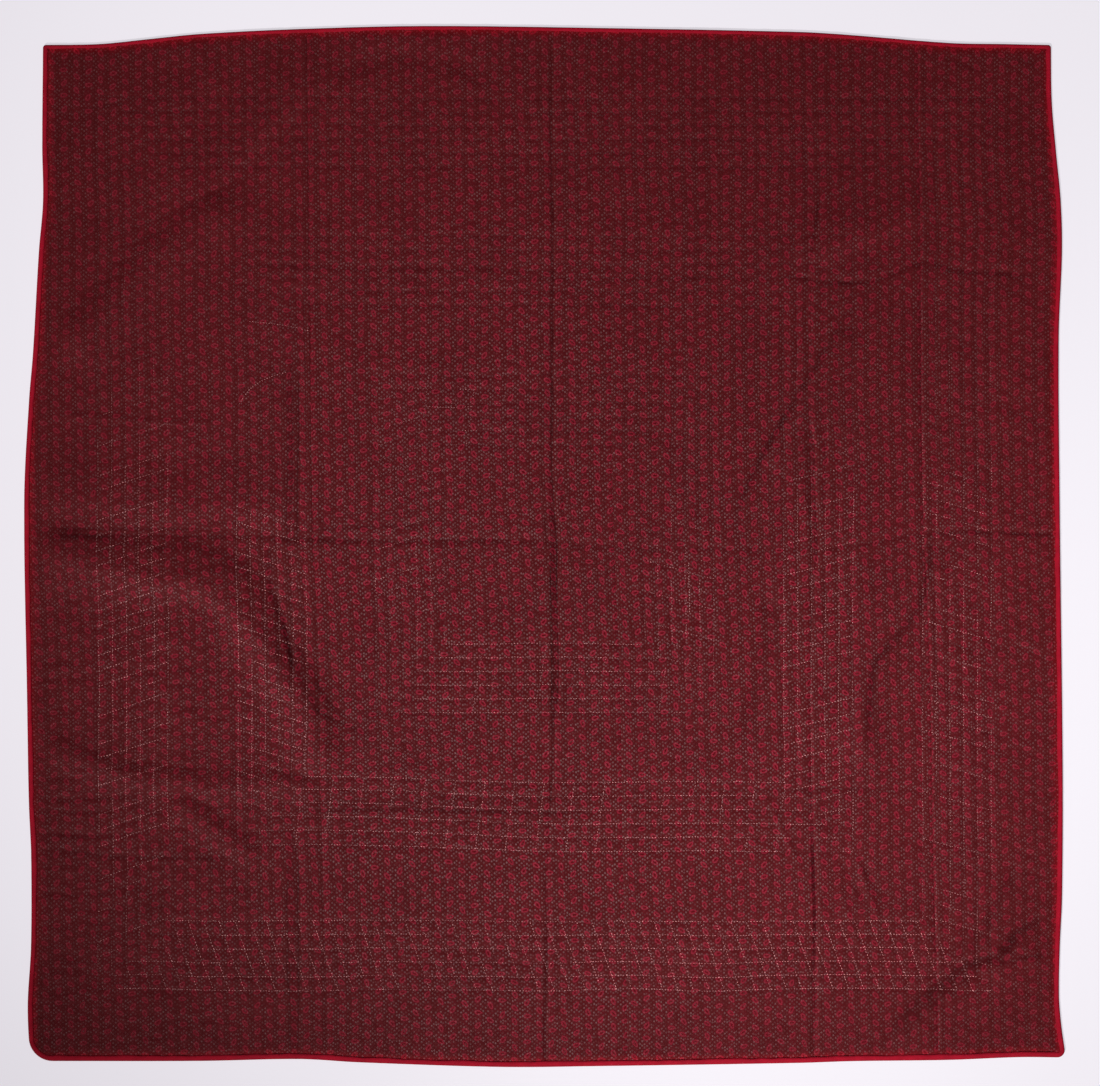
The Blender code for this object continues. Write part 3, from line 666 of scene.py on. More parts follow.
def from_route(route, x, y):
    """(distance from a route, how far to its left, from -1 to 1, how far along it, from 0 to 1)."""
    best = np.full(np.shape(x), np.inf)
    side, place = np.zeros(np.shape(x)), np.zeros(np.shape(x))
    count = len(route) - 1
    for i, (start, end) in enumerate(zip(route, route[1:])):
        span = end - start
        ox, oy = x - start[0], y - start[1]
        t = np.clip((ox * span[0] + oy * span[1]) / (span @ span), 0.0, 1.0)
        ax, ay = ox - span[0] * t, oy - span[1] * t
        away = np.hypot(ax, ay)
        nearer = away < best
        turned = (span[0] * ay - span[1] * ax) / np.maximum(np.hypot(*span) * away, 1e-9)
        best, side = np.where(nearer, away, best), np.where(nearer, turned, side)
        place = np.where(nearer, (i + t) / count, place)
    return best, side, place


def lift_height(x, y):
    """How high the cloth lies off the surface."""
    height = np.zeros(np.shape(x))
    for lift in LIFTS:
        distance, side, _ = from_route(smooth_route(lift.route, LIFT_STEP), x, y)
        width = (lift.right + (lift.left - lift.right) * (1 + side) / 2) / MM
        height = np.maximum(height, lift.rise / MM * bell(distance / width))
    return height * rise(edge_distance(x, y), 0, EDGE_REST)


def crease_depth(x, y):
    """(how far the soft creases draw the cloth down, the share of light lost in their bottoms)."""
    depth, shade = np.zeros(np.shape(x)), np.zeros(np.shape(x))
    for number, crease in enumerate(CREASES):
        distance, _, place = from_route(smooth_route(crease.route), x, y)
        uneven = 1 + UNEVEN * soft_noise(x, y, CREASE_SEED + number, CREASE_BUMPS, CREASE_BUMPS)
        along = uneven * rise(place, 0, CREASE_END) * rise(1 - place, 0, CREASE_END)
        share = along * bell(distance / (crease.width / MM))
        depth += crease.depth / MM * share
        shade = np.maximum(shade, crease.shade * share)
    return depth, shade


def fold_values(fold, along):
    """A fold's place across, its depth and the widths of its two slopes, at places along it."""
    return [smooth_through([(row[0], row[k]) for row in fold.rows], along * MM) / MM for k in range(1, 5)]


def pinched(distance, low):
    """The light lost for each metre of an upright fold's depth: on its gentle slope, in its bottom, and in
    the line at the top of a wide slope."""
    slope = rise(distance / low, *PINCH_SLOPE) * rise(PINCH_RIM - distance, 0, PINCH_RIM)
    wide = rise(low, *WIDE_SLOPE)
    bottom = (1 + WIDE_BOTTOM * wide) * bell(np.abs(distance + PINCH_BOTTOM) / PINCH_WIDTH)
    twin = WIDE_TOP * wide * bell(np.abs(distance + low) / PINCH_WIDTH)
    return BAND_SHADE * slope + PINCH_SHADE * (bottom + twin)


def fold_depth(x, y):
    """(how far the storage folds draw the cloth down, with a low welt on both sides of each, the share of
    light lost in their bottoms)."""
    depth, shade = np.zeros(np.shape(x)), np.zeros(np.shape(x))
    for number, fold in enumerate(FOLDS):
        along, across = (x, y) if fold.axis == 0 else (y, x)
        middle, deep, low, high = fold_values(fold, along)
        wander = FOLD_WANDER * soft_noise(along, 0 * along, WANDER_SEED + number, WANDER_BUMPS, 1)
        distance = across - middle - wander
        away = np.abs(distance) / np.where(distance < 0, low, high)
        uneven = 1 + FOLD_UNEVEN * soft_noise(along, 0 * along, FOLD_SEED + number, FOLD_BUMPS, 1)
        welt = WELT_SHARE * bell(np.abs(away - WELT_PLACE) / WELT_WIDTH)
        depth = depth + deep * uneven * (bell(away) - welt)
        if fold.axis == 0:
            dark = FOLD_SHADE * bell(np.abs(distance) / CREVICE_WIDTH)
        else:
            dark = pinched(distance, low)
        shade = np.maximum(shade, deep * uneven * dark)
    return depth, shade


def square_place(x, y):
    """(outward distance from the frames' centre, the side's name index, place along that side)."""
    cx, cy = x - FRAME_CENTRE[0], y - FRAME_CENTRE[1]
    flat = np.abs(cx) > np.abs(cy)
    outward = np.where(flat, np.abs(cx), np.abs(cy))
    along = np.where(flat, cy, cx)
    side = np.where(flat, np.where(cx > 0, 1, 3), np.where(cy > 0, 2, 0))
    return outward, side, along


def line_trough(turns):
    """1 on a stitched line, 0 half way to the next, for a place counted in lines."""
    return (1 - np.abs(np.sin(math.pi * turns))) ** TROUGH_POWER


def quilting_depth(x, y):
    """How far the long lines and the cross lines of the frames draw the cloth down."""
    outward, side, along = square_place(x, y)
    depth = np.zeros(np.shape(x))
    for band in BANDS:
        depth_out = outward - FIRST_LINE - band.frame * FRAME_PITCH
        lines = depth_out / LINE_PITCH
        inside = (side == SIDE_NAMES.index(band.side)) & (np.abs(lines - MIDDLE_LINE) < FRAME_LINES / 2)
        long_lines = line_trough(lines)
        between = (lines > 0) & (lines < FRAME_LINES - 1)
        cross = line_trough((along - band.slant * depth_out) / (band.pitch / MM)) * between
        uneven = 1 + UNEVEN * soft_noise(x, y, FRAME_SEED + band.frame, FRAME_BUMPS, FRAME_BUMPS)
        both = np.maximum(LINE_DEPTH * long_lines, CROSS_DEPTH * cross) * uneven
        depth = np.where(inside, both, depth)
    return depth


def cable_depth(x, y):
    """How far the strands of the cables draw the cloth down. They pass over and under in turn."""
    outward, _, along = square_place(x, y)
    depth = np.zeros(np.shape(x))
    for cable in CABLES:
        across = outward - cable.half / MM
        phase = 2 * math.pi * along / (cable.length / MM)
        swing = cable.swing / MM * np.sin(phase)
        for hand in (-1, 1):
            over = smooth_step(0.5 + CABLE_CROSSING * hand * np.cos(phase))
            for line in CABLE_LINES:
                away = np.abs(across - hand * swing - line * CABLE_PITCH)
                depth = np.maximum(depth, CABLE_DEPTH * over * bell(away / CABLE_WIDTH))
    return depth


def warp(x, y):
    """How far the quilting and the print have shifted with the cloth."""
    drift = NEAR_DRIFT * rise(-x, *DRIFT_LEFT) * bell(np.abs(y + DRIFT_NEAR) / DRIFT_REACH)
    return bumps(SHIFT_RIGHT, x, y), bumps(SHIFT_FAR, x, y) + drift


def puffs(x, y):
    """The small unevenness of the filling and of cloth that the quilting has drawn in."""
    left = rise(-x, *PUFFS_LEFT) * rise(-y, *PUFFS_NEAR)
    right = rise(x, *PUFFS_RIGHT)
    middle = rise(-np.abs(x), *PUFFS_MIDDLE)
    height = bumps(PUFFS, x, y) + left * bumps(LEFT_PUFFS, x, y) + middle * bumps(MIDDLE_PUFFS, x, y)
    return height + right * bumps(RIGHT_PUFFS, x, y + RIGHT_SLANT * x)


def seam_depth(x, y):
    """The grooves where the panels of the back join."""
    depth = np.zeros(np.shape(x))
    for panel in PANELS[:-1]:
        across = x - lean(y) - panel.seam / MM
        depth += SEAM_DEPTH * bell(np.abs(across) / SEAM_WIDTH)
        depth -= SEAM_RIDGE * bell(np.abs(across - RIDGE_PLACE) / RIDGE_PLACE)
    return depth


def top_height(x, y):
    """The upper face of the quilt."""
    dx, dy = warp(x, y)
    cloth_x, cloth_y = x - dx, y - dy
    inward = edge_distance(x, y)
    full = rise(inward, RIM_START, RIM_FULL)
    relief = puffs(x, y) - quilting_depth(cloth_x, cloth_y) - cable_depth(cloth_x, cloth_y)
    relief -= fold_depth(x, y)[0] + crease_depth(x, y)[0] + seam_depth(x, y)
    lift = lift_height(x, y)
    height = EDGE_TOP + (LOFT - EDGE_TOP + relief) * full + lift
    return np.maximum(height, np.maximum(lift - UNDERSIDE_SLACK, 0.0) + LEAST_THICKNESS)


def front_height(x, y):
    """The front of the quilt, which lies on the surface."""
    inward = edge_distance(x, y)
    edge = EDGE_UNDER * (1 - rise(inward, RIM_START, FRONT_FULL))
    dimples = FRONT_DIMPLE * quilting_depth(x, y) / LINE_DEPTH * rise(inward, *DIMPLE_RIM)
    return edge + dimples + np.maximum(lift_height(x, y) - UNDERSIDE_SLACK, 0.0)


SIDE_NAMES = [side.name for side in SIDES]
LEVEL_SIDES = [side.name for side in SIDES if side.axis == 0]
UPRIGHT_FOLDS = [fold for fold in FOLDS if fold.axis == 1]


def cloth_grid(inset, rows, spans):
    """Points (x, y) on a grid that follows the outline. spans(the rows' left ends, their right ends) gives
    the shares of each row's width where its points lie."""
    near = edge_curve(0, inset, EDGE_POINTS)
    far = edge_curve(2, inset, EDGE_POINTS)[::-1]
    right = edge_curve(1, inset, rows)
    left = edge_curve(3, inset, rows)[::-1]
    t = np.linspace(0, 1, rows)[:, None]
    s = spans(left, right)
    knots = np.linspace(0, 1, len(near))
    grid = np.empty(s.shape + (2,))
    for axis in (0, 1):
        near_at, far_at = np.interp(s, knots, near[:, axis]), np.interp(s, knots, far[:, axis])
        ends = (1 - s) * left[:, axis][:, None] + s * right[:, axis][:, None]
        corners = (1 - t) * ((1 - s) * near[0, axis] + s * near[-1, axis])
        corners += t * ((1 - s) * far[0, axis] + s * far[-1, axis])
        grid[..., axis] = (1 - t) * near_at + t * far_at + ends - corners
    return grid


def seam_share(seam, left, right):
    """Where a seam crosses each row, as a share of the row's width."""
    return (seam / MM + lean((left[:, 1] + right[:, 1]) / 2) - left[:, 0]) / (right[:, 0] - left[:, 0])


def panel_spans(index):
    """The columns of a panel's grid, from seam to seam. They are finer along an upright fold."""
    panel = PANELS[index]
    fold = UPRIGHT_FOLDS[index] if index < len(UPRIGHT_FOLDS) else None

    def spans(left, right):
        start = np.zeros(len(left)) if index == 0 else seam_share(PANELS[index - 1].seam, left, right)
        end = np.ones(len(left)) if panel.seam is None else seam_share(panel.seam, left, right)
        stops = [start, end]
        if fold is not None:
            width = right[:, 0] - left[:, 0]
            middle = (fold_values(fold, (left[:, 1] + right[:, 1]) / 2)[0] - left[:, 0]) / width
            stops = [start, middle - FINE_REACH / width, middle + FINE_REACH / width, end]
        runs = []
        for number, (first, second) in enumerate(zip(stops, stops[1:])):
            length = float(np.mean((second - first) * (right[:, 0] - left[:, 0])))
            count = FINE_COLUMNS if number == 1 else max(round(length / GRID_STEP), 2)
            steps = np.linspace(0, 1, count + 1)[bool(runs):]
            runs.append(first[:, None] + (second - first)[:, None] * steps)
        return np.concatenate(runs, axis=1)
    return spans


def mesh_object(name, points, faces, material):
    mesh = bpy.data.meshes.new(name)
    mesh.from_pydata(points, [], faces)
    mesh.shade_smooth()
    mesh.materials.append(material)
    obj = bpy.data.objects.new(name, mesh)
    bpy.context.collection.objects.link(obj)
    return obj


def grid_object(name, grid, heights, material):
    """A sheet through a grid of points."""
    index = np.arange(heights.size).reshape(heights.shape)
    points = np.concatenate((grid + SHIFT, heights[..., None]), axis=-1)
    quads = np.stack((index[:-1, :-1], index[:-1, 1:], index[1:, 1:], index[1:, :-1]), axis=-1)
    return mesh_object(name, points.reshape(-1, 3), quads.reshape(-1, 4), material)


def add_uv(obj, name, u, v):
    """A UV map from one pair of values for each vertex."""
    mesh = obj.data
    corners = np.empty(len(mesh.loops), dtype=np.int32)
    mesh.loops.foreach_get("vertex_index", corners)
    uv = np.stack((np.ravel(u)[corners], np.ravel(v)[corners]), axis=-1)
    mesh.uv_layers.new(name=name).data.foreach_set("uv", uv.astype(np.float32).ravel())


def add_bake_uv(obj, grid):
    """A flat UV map for the bake of the export."""
    low, high = grid.min(axis=(0, 1)), grid.max(axis=(0, 1))
    size = float((high - low).max()) * BAKE_SPACE
    u, v = np.moveaxis((grid - low) / size + BAKE_RIM, -1, 0)
    add_uv(obj, "OFBake", u, v)


def sign(operation, swapped=False):
    """A Python sign for an operation of the Math node."""
    def apply(first, second):
        pair = (second, first) if swapped else (first, second)
        return first.nodes.math(operation, *pair)
    return apply


class Value:
    """What a node gives, for sums in Python's own signs."""

    def __init__(self, nodes, socket):
        self.nodes, self.socket = nodes, socket

    __add__ = __radd__ = sign("ADD")
    __mul__ = __rmul__ = sign("MULTIPLY")
    __sub__, __rsub__ = sign("SUBTRACT"), sign("SUBTRACT", swapped=True)
    __truediv__ = sign("DIVIDE")

    def made(self, operation, *values):
        return self.nodes.math(operation, self, *values)


class Nodes:
    """Short ways to add the shader nodes of a new material or world."""

    def __init__(self, owner):
        owner.use_nodes = True
        self.owner, self.tree = owner, owner.node_tree

    def fill(self, node, inputs):
        """Links or sets the inputs of a node."""
        for key, value in inputs.items():
            if isinstance(value, Value):
                self.tree.links.new(value.socket, node.inputs[key])
            else:
                node.inputs[key].default_value = value

    def add(self, kind, inputs, **settings):
        """All outputs of a new node."""
        node = self.tree.nodes.new(kind)
        for key, value in settings.items():
            setattr(node, key, value)
        self.fill(node, inputs)
        return [Value(self, socket) for socket in node.outputs]

    def shade(self, inputs, node="Principled BSDF"):
        """Fills the shader, and gives back the material."""
        self.fill(self.tree.nodes[node], inputs)
        return self.owner

    def math(self, operation, *values):
        return self.add("ShaderNodeMath", dict(enumerate(values)), operation=operation)[0]

    def vector(self, operation, inputs):
        """(the vector, the number) of an operation on vectors."""
        return self.add("ShaderNodeVectorMath", inputs, operation=operation)

    def ramp(self, value, start, end, low=0.0, high=1.0):
        """low up to start and high from end on, with a smooth change between them."""
        inputs = dict(enumerate((value, start, end, low, high)))
        return self.add("ShaderNodeMapRange", inputs, interpolation_type="SMOOTHSTEP")[0]

    def mix(self, share, first, second):
        """A mix of two colours."""
        return self.add("ShaderNodeMix", {0: share, 6: first, 7: second}, data_type="RGBA")[2]

    def point(self, x, y):
        return self.add("ShaderNodeCombineXYZ", {0: x, 1: y})[0]

    def parts(self, vector):
        return self.add("ShaderNodeSeparateXYZ", {0: vector})

    def uv(self, name):
        return self.parts(self.add("ShaderNodeUVMap", {}, uv_map=name)[0])

    def place(self, kind="Object"):
        """The place on the object, in metres, or another kind of place."""
        return Value(self, self.tree.nodes.new("ShaderNodeTexCoord").outputs[kind])

    def random(self, x, y):
        """(one random value, three random values) for a place."""
        place = {"Vector": self.point(x, y)}
        value, colour = self.add("ShaderNodeTexWhiteNoise", place, noise_dimensions="2D")
        return value, self.parts(colour)

    def noise(self, vector, scale, detail):
        return self.add("ShaderNodeTexNoise", {"Vector": vector, "Scale": scale, "Detail": detail})[0]

    def bump(self, height, distance, strength, **normal):
        inputs = {"Strength": strength, "Distance": distance, "Height": height, **normal}
        return self.add("ShaderNodeBump", inputs)[0]

    def weave(self, x, y, pitch, **normal):
        """The relief of a plain weave, from places in metres: threads that pass over and under in turn."""
        along, across = (x * (math.pi / pitch)).made("SINE"), (y * (math.pi / pitch)).made("SINE")
        return self.bump(along * across, THREAD_RELIEF, THREAD_BUMP, **normal)


def seed_angle(column, row, jitter):
    """How far a printed seed turns from the level: two families of columns, and two turns in each."""
    family, turn = column.made("PINGPONG", 1.0), row.made("PINGPONG", 1.0)
    falling, rising = (turn * math.radians(b - a) + math.radians(a) for a, b in SEED_TURNS)
    angle = family * (rising - falling) + falling
    return (jitter - 0.5) * math.radians(SEED_TURN_JITTER) + angle


def oval(along, across, half_long, half_wide):
    """The distance from an oval's middle, 1 on its edge."""
    a, b = along / half_long, across / half_wide
    return (a * a + b * b).made("SQRT")


def print_colour(nodes, across, along, dots, clear):
    """The print's colour, from places counted in columns and rows, the strength of its dots and how clear
    the print is."""
    column = across.made("FLOOR")
    rows = column * ROW_OFFSET + along
    row = rows.made("FLOOR")
    chance = nodes.random(column, row)[1]
    x = (across.made("FRACT") - 0.5) * COLUMN_PITCH + (chance[0] - 0.5) * SEED_JITTER[0]
    y = (rows.made("FRACT") - 0.5) * ROW_PITCH + (chance[1] - 0.5) * SEED_JITTER[1]
    angle = seed_angle(column, row, chance[2])
    cosine, sine = angle.made("COSINE"), angle.made("SINE")
    long, wide = x * cosine + y * sine, y * cosine - x * sine
    rough = nodes.noise(nodes.point(across * COLUMN_PITCH, along * ROW_PITCH), *SEED_NOISE) - 0.5
    away = oval(long, wide / (1.0 - long * SEED_TAPER), SEED_LONG, SEED_WIDE) + rough * SEED_ROUGH
    line = nodes.ramp((away - 1.0).made("ABSOLUTE"), *SEED_LINE_RAMP)
    inside = nodes.ramp(away, *SEED_INSIDE_RAMP)
    bar = nodes.ramp(oval(long, wide, BAR_LONG, BAR_WIDE), *BAR_RAMP)
    between = nodes.ramp(x.made("ABSOLUTE"), *STRIP_RAMP)
    ground = nodes.mix(between, STRIP, GROUND)
    ground = nodes.mix(dots * (between * DOT_GAIN + DOT_BASE), ground, PALE_DOT_AND_GLINT)
    colour = nodes.mix(inside * clear, ground, SEED_INSIDE)
    colour = nodes.mix(line * clear, colour, SEED)
    return nodes.mix(bar * clear, colour, SEED_BAR)


def pin_dots_and_glints(nodes, across, along):
    """Fine pale dots in upright lines, half a step apart in neighbouring lines, uneven in strength. They are
    the print's pin dots and partly painted glints of the weave.
    """
    x = across * DOT_COLUMNS
    line = x.made("FLOOR")
    y = along * DOT_ROWS + line * 0.5
    strength, chance = nodes.random(line, y.made("FLOOR"))
    from_x = x.made("FRACT") - 0.5 - (chance[0] - 0.5) * DOT_JITTER
    from_y = y.made("FRACT") - 0.5 - (chance[1] - 0.5) * DOT_JITTER
    mask = nodes.ramp(oval(from_x, from_y, *DOT_SHAPE), *DOT_RAMP)
    return mask * (strength * DOT_SPREAD + DOT_LEAST)


def printed_cotton():
    nodes = Nodes(bpy.data.materials.new("printed_cotton_looks"))
    across, along, _ = nodes.uv("Print")
    # The first value of the Panel map is the panel's tone with the painted shade of the folds and creases
    tone, dot_tone, _ = nodes.uv("Panel")
    x, y = across * COLUMN_PITCH, along * ROW_PITCH
    cloth = nodes.point(x, y)
    from_middle = nodes.vector("DISTANCE", {0: nodes.place(), 1: CLEAR_MIDDLE})[1]
    clear = nodes.ramp(from_middle, CLEAR_REACH, FADED_REACH, 1.0, FADED)
    dots = pin_dots_and_glints(nodes, across, along) * dot_tone * clear * CLEAR_DOTS
    bled = nodes.mix(nodes.uv("Bleed")[0], (1, 1, 1, 1), (*BLEED, 1))
    colour = nodes.vector("MULTIPLY", {0: print_colour(nodes, across, along, dots, clear), 1: bled})[0]
    # The print's fading, times the panel's tone and the painted shade of the folds and creases
    fade_and_shade = nodes.ramp(nodes.noise(cloth, *FADE_NOISE), *FADE_RAMP) * tone
    slub = nodes.noise(nodes.point(x * SLUB_STRETCH, y), *SLUB_NOISE)
    grain = nodes.ramp(slub, *SLUB_RAMP) * nodes.ramp(nodes.noise(cloth, *SPECK_NOISE), *SPECK_RAMP)
    grain = (grain - 1.0) * clear + 1.0
    return nodes.shade({
        "Base Color": nodes.vector("SCALE", {0: colour, "Scale": fade_and_shade * grain})[0],
        "Roughness": nodes.ramp(slub, *ROUGH_RAMP),
        "Specular IOR Level": dots * grain * DOT_GLOSS + CLOTH_GLOSS,
        "Normal": nodes.weave(x, y, THREAD, Normal=nodes.bump(slub, *SLUB_BUMP)),
    })


def binding_cotton():
    nodes = Nodes(bpy.data.materials.new("binding_cotton_looks"))
    place = nodes.place()
    x, y, _ = nodes.parts(place)
    patches = nodes.ramp(nodes.noise(place, *BINDING_NOISE), *PLAIN_RAMP)
    # Painted highlight: the binding is made paler along its crest
    tone = patches * PATCH_SHARE + nodes.uv("CrestHighlight")[0] * HIGHLIGHT_SHARE
    weave = nodes.weave(x + y, x - y, BINDING_THREAD)
    return nodes.shade({
        "Base Color": nodes.mix(tone, *BINDING_RED),
        "Roughness": 0.8,
        "Specular IOR Level": 0.12,
        "Normal": nodes.bump(nodes.noise(place, *SOFT_NOISE), *SOFT_BUMP, Normal=weave),
    })


def front_cotton():
    """The unseen front: plain madder red cotton."""
    nodes = Nodes(bpy.data.materials.new("front_cotton_looks"))
    place = nodes.place()
    x, y, _ = nodes.parts(place)
    tone = nodes.ramp(nodes.noise(place, *FRONT_NOISE), *PLAIN_RAMP)
    return nodes.shade({
        "Base Color": nodes.mix(tone, *FRONT_RED),
        "Roughness": 0.8,
        "Normal": nodes.weave(x, y, THREAD),
    })


def thread_cotton():
    """The quilting thread: pale where it lies on top, dark where it has sunk in."""
    nodes = Nodes(bpy.data.materials.new("thread_looks"))
    tone = nodes.add("ShaderNodeAttribute", {}, attribute_name="pale")[2]
    return nodes.shade({"Base Color": nodes.mix(tone, *THREAD_COLOURS), "Roughness": 0.7})


def make_panel(index, material):
    """One panel of the printed back, from seam to seam."""
    panel = PANELS[index]
    grid = cloth_grid(CLOTH_INSET, round(CUT_LENGTH / GRID_STEP), panel_spans(index))
    x, y = grid[..., 0], grid[..., 1]
    obj = grid_object(panel.name, grid, top_height(x, y), material)
    dx, dy = warp(x, y)
    across = (x - dx - lean(y) - panel.column / MM) / (panel.pitch / MM) + 0.5
    along = (y - dy + panel.row / MM) / ROW_PITCH
    add_uv(obj, "Print", across, along)
    # Painted shade: the darkness in the bottoms of the folds and creases goes into the cloth's colour,
    # through the first value of the Panel map
    shade = np.maximum(fold_depth(x, y)[1], crease_depth(x, y)[1])
    add_uv(obj, "Panel", panel.tone * (1 - shade), np.full(x.shape, panel.dots))
    from_binding = np.clip((edge_distance(x, y) - BINDING_WIDTH) / BLEED_REACH, 0, 1)
    add_uv(obj, "Bleed", (1 - from_binding) ** 2, 0 * x)
    add_bake_uv(obj, grid)
    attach(obj, "root")
    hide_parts("quilt")
    return obj


def make_front(material):
    """The front of the quilt, face down."""
    count = round(CUT_LENGTH / FRONT_STEP)
    grid = cloth_grid(CLOTH_INSET, count, lambda left, right: np.tile(np.linspace(0, 1, count), (count, 1)))
    obj = grid_object("quilt_front", grid, front_height(grid[..., 0], grid[..., 1]), material)
    obj.data.flip_normals()
    add_bake_uv(obj, grid)
    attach(obj, "root")
    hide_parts("quilt")
    return obj


def binding_shares():
    """The share of the binding's width at each point of a ring. It changes over the corners."""
    runs = []
    for i, share in enumerate(BINDING_SHARES):
        runs.append(np.linspace(BINDING_SHARES[i - 1], share, CORNER_STEPS))
        runs.append(np.full(len(side_run(i, 0.0, OUTLINE_STEP)), share))
    return np.concatenate(runs)


def make_binding(material):
    """The narrow strip, folded round the edge, with the small waves of hand sewing."""
    outer, inner = ring(0.0), ring(BINDING_WIDTH)
    count = len(outer)
    lengths = np.cumsum(np.hypot(*(outer - np.roll(outer, 1, axis=0)).T))
    zero = 0 * lengths
    wobble = sum(soft_noise(lengths, zero, seed, size, 1) for seed, size in BINDING_WAVES)
    plump = 1 + BINDING_PLUMP * soft_noise(lengths, zero, *PLUMP_WAVE, 1)
    wide = binding_shares() * (1 + BINDING_WOBBLE / BINDING_WIDTH * wobble)
    rings, crest_highlights = [], []
    for inset, z in BINDING_SECTION:
        place = outer + (inner - outer) * (inset / MM / BINDING_WIDTH * wide)[:, None] + SHIFT
        rings.append(np.column_stack((place, np.minimum(z / MM * plump, BINDING_TOP))))
        # The palest line along the binding's crest is a painted highlight
        crest_highlights.append(np.full(count, bell(abs(inset / MM / BINDING_HIGHLIGHT_PLACE - 1))))
    index = np.arange(len(rings) * count).reshape(-1, count)
    after = np.roll(index, -1, axis=1)
    quads = np.stack((after[:-1], index[:-1], index[1:], after[1:]), axis=-1)
    obj = mesh_object("binding_strip", np.concatenate(rings), quads.reshape(-1, 4), material)
    crest_highlights = np.concatenate(crest_highlights)
    add_uv(obj, "CrestHighlight", crest_highlights, 0 * crest_highlights)
    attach(obj, "root")
    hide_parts("binding")
    return obj


def side_to_plan(side, outward, along):
    """A place on a side of the square frames, as (x, y)."""
    out = outward if side in ("right", "far") else -outward
    x, y = (along, out) if side in LEVEL_SIDES else (out, along)
    return FRAME_CENTRE[0] + x, FRAME_CENTRE[1] + y


def line_noise(places, draw, size):
    """Soft noise along one line, with a seed of its own."""
    return soft_noise(places, 0 * places, int(draw.integers(1, SEEDS)), size, 1)


def long_line_stitches(band, draw):
    """(x, y, direction, pale, patch) for each stitch of the long lines of one side of one frame."""
    rows = []
    for line in range(FRAME_LINES):
        half = FIRST_LINE + band.frame * FRAME_PITCH + line * LINE_PITCH
        places = np.arange(-half + STITCH_PITCH / 2, half, STITCH_PITCH)
        places = places + draw.uniform(-STITCH_SLIP, STITCH_SLIP, len(places))
        outward = half + draw.normal(0, STITCH_STRAY, len(places))
        x, y = side_to_plan(band.side, outward, places)
        heading = 0.0 if band.side in LEVEL_SIDES else math.pi / 2
        pale = smooth_through(band.pale, places * MM)
        patch = line_noise(places, draw, STITCH_PATCH)
        patch += LONG_PATCH_SHARE * line_noise(places, draw, LONG_PATCH)
        rows.append((x, y, np.full(len(places), heading), pale, patch))
    return rows


def cross_line_stitches(band, draw):
    """(x, y, direction, pale, patch) for each stitch of the cross lines of one side of one frame."""
    rows = []
    first = FIRST_LINE + band.frame * FRAME_PITCH
    pitch = band.pitch / MM
    reach = int((first + FRAME_WIDTH) / pitch) + 2
    for k in range(-reach, reach + 1):
        depth = np.arange(STITCH_PITCH / 2, FRAME_WIDTH, STITCH_PITCH)
        along = k * pitch + band.slant * depth + draw.normal(0, STITCH_STRAY, len(depth))
        inside = np.abs(along) < first + depth
        if not inside.any():
            continue
        depth, along = depth[inside], along[inside]
        x, y = side_to_plan(band.side, first + depth, along)
        out = 1 if band.side in ("right", "far") else -1
        turn = math.atan2(out, band.slant) if band.side in LEVEL_SIDES else math.atan2(band.slant, out)
        pale = band.cross * smooth_through(band.pale, along * MM)
        patch = draw.uniform(*CROSS_TONES) + CROSS_PATCH_SHARE * line_noise(depth, draw, STITCH_PATCH)
        rows.append((x, y, np.full(len(depth), turn), pale, patch))
    return rows


def stray_stitches(stray):
    """(x, y, direction, pale, patch) for each stitch of a line that belongs to no frame."""
    points = smooth_route(stray.route, STITCH_PITCH)
    spans = np.diff(points, axis=0)
    middles = (points[1:] + points[:-1]) / 2
    whole = np.ones(len(spans))
    return [(middles[:, 0], middles[:, 1], np.arctan2(spans[:, 1], spans[:, 0]), stray.pale * whole, whole)]


def surface_tree(obj):
    """A search tree for an object's faces, to set stitches on the cloth."""
    mesh = obj.data
    return BVHTree.FromPolygons([v.co for v in mesh.vertices], [p.vertices for p in mesh.polygons])


def cloth_under(trees, x, y):
    """The height of the cloth's face at a point of the shifted plan."""
    for tree in trees:
        hit = tree.ray_cast(Vector((x, y, 0.1)), Vector((0, 0, -1)))[0]
        if hit is not None:
            return hit.z
    return LOFT


def make_stitches(name, rows, trees, draw, material):
    """Many stitches as one mesh. Each is a short length of thread with a rounded top."""
    x, y, heading, pale, patch = (np.concatenate([row[k] for row in rows]) for k in range(5))
    dx, dy = warp(x, y)
    x, y = x + dx + SHIFT[0], y + dy + SHIFT[1]
    shown = rise(PALE_WEIGHT * pale + PATCH_WEIGHT * patch, *SHOWN_FROM)
    tone = pale * shown * draw.uniform(*STITCH_TONES, len(x))
    heading = heading + draw.normal(0, STITCH_TURN, len(x))
    length = STITCH_LENGTH * draw.uniform(*STITCH_SHARES, len(x)) / 2
    points, faces, tones = [], [], []
    for i in range(len(x)):
        middle = Vector((x[i], y[i], cloth_under(trees, x[i], y[i])))
        along = Vector((math.cos(heading[i]), math.sin(heading[i]), 0.0)) * length[i]
        along.z = cloth_under(trees, x[i] + along.x, y[i] + along.y) - middle.z
        side = Vector((-along.y, along.x, 0.0)).normalized() * STITCH_WIDTH / 2
        low, high = Vector((0, 0, -STITCH_SINK)), Vector((0, 0, STITCH_RISE))
        first = len(points)
        points += [
            middle - along - side + low, middle + along - side + low,
            middle + along + side + low, middle - along + side + low,
            middle - along * RIDGE_SHARE + high, middle + along * RIDGE_SHARE + high,
        ]
        faces += [tuple(first + k for k in face) for face in STITCH_FACES]
        tones += [tone[i]] * len(points[first:])
    places = np.array(points)
    places[:, 2] = np.maximum(places[:, 2], LEAST_STITCH_HEIGHT)
    obj = mesh_object(name, places, faces, material)
    attribute = obj.data.attributes.new("pale", "FLOAT", "POINT")
    attribute.data.foreach_set("value", np.array(tones, dtype=np.float32))
    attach(obj, "root")
    return obj


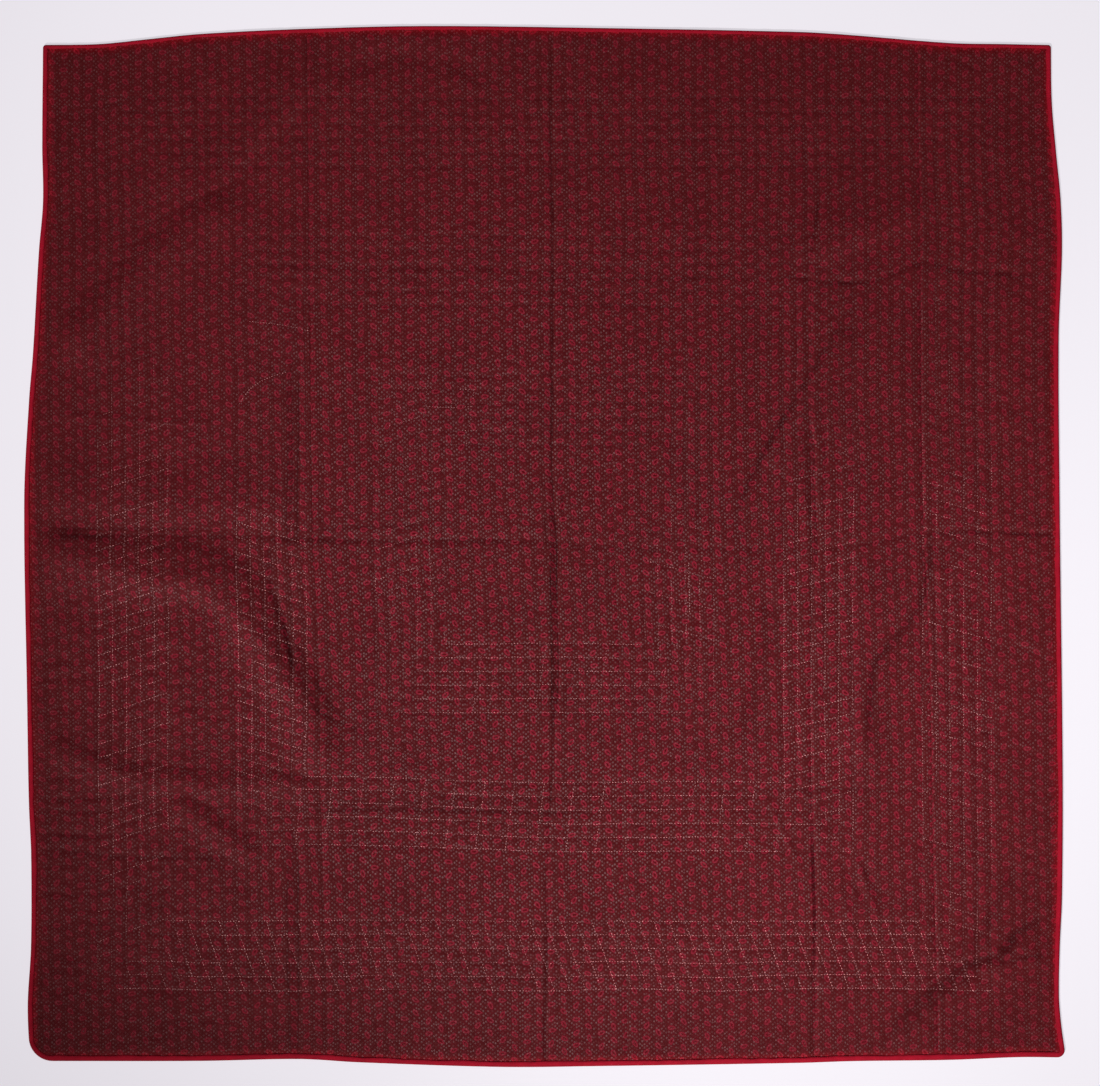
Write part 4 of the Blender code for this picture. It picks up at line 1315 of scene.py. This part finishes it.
def make_floor():
    """A plain pale floor. It glows a little, as a white sweep does that is lit from all round."""
    material = Nodes(bpy.data.materials.new("floor_looks")).shade({
        "Base Color": FLOOR_COLOUR,
        "Roughness": 0.9,
        "Emission Color": FLOOR_GLOW,
        "Emission Strength": 1.0,
    })
    corners = [(FLOOR_HALF * x, FLOOR_HALF * y, -FLOOR_DROP) for x, y in ((-1, -1), (1, -1), (1, 1), (-1, 1))]
    mesh_object("floor", corners, [(0, 1, 2, 3)], material)


def make_light():
    """The two lamps, and a surrounding that is paler towards the horizon."""
    for lamp in LAMPS:
        data = bpy.data.lights.new(lamp.name, "SPOT")
        data.energy = lamp.power
        data.spot_size = lamp.cone
        data.spot_blend = 1.0
        data.shadow_soft_size = LAMP_RADIUS
        light = bpy.data.objects.new(lamp.name, data)
        light.location = LAMP_PLACE
        light.rotation_euler = (Vector(lamp.aim) - Vector(LAMP_PLACE)).to_track_quat("-Z", "Y").to_euler()
        bpy.context.collection.objects.link(light)
    nodes = Nodes(bpy.data.worlds.new("studio"))
    upward = nodes.parts(nodes.place("Generated"))[2]
    strength = nodes.add("ShaderNodeMapRange", {0: upward, 3: FILL_LEVEL, 4: FILL_OVERHEAD})[0]
    bpy.context.scene.world = nodes.shade({"Color": FILL_COLOUR, "Strength": strength}, "Background")


def make_camera():
    data = bpy.data.cameras.new("camera")
    data.lens = CAMERA_LENS
    data.sensor_width = CAMERA_SENSOR
    camera = bpy.data.objects.new("camera", data)
    camera.location = Vector(CAMERA_PLACE) + Vector((SHIFT[0], SHIFT[1], 0))
    bpy.context.collection.objects.link(camera)
    bpy.context.scene.camera = camera


def main():
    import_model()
    scene = bpy.context.scene
    scene.view_settings.view_transform = "Standard"
    make_camera()
    make_light()
    make_floor()
    print_material = printed_cotton()
    panels = [make_panel(i, print_material) for i in range(len(PANELS))]
    make_front(front_cotton())
    make_binding(binding_cotton())
    thread = thread_cotton()
    trees = [surface_tree(panel) for panel in panels]
    draw = np.random.default_rng(7)
    long_rows = [row for band in BANDS for row in long_line_stitches(band, draw)]
    make_stitches("long_line_stitches", long_rows, trees, draw, thread)
    cross_rows = [row for band in BANDS for row in cross_line_stitches(band, draw)]
    cross_rows += [row for stray in STRAYS for row in stray_stitches(stray)]
    make_stitches("cross_line_stitches", cross_rows, trees, draw, thread)


main()
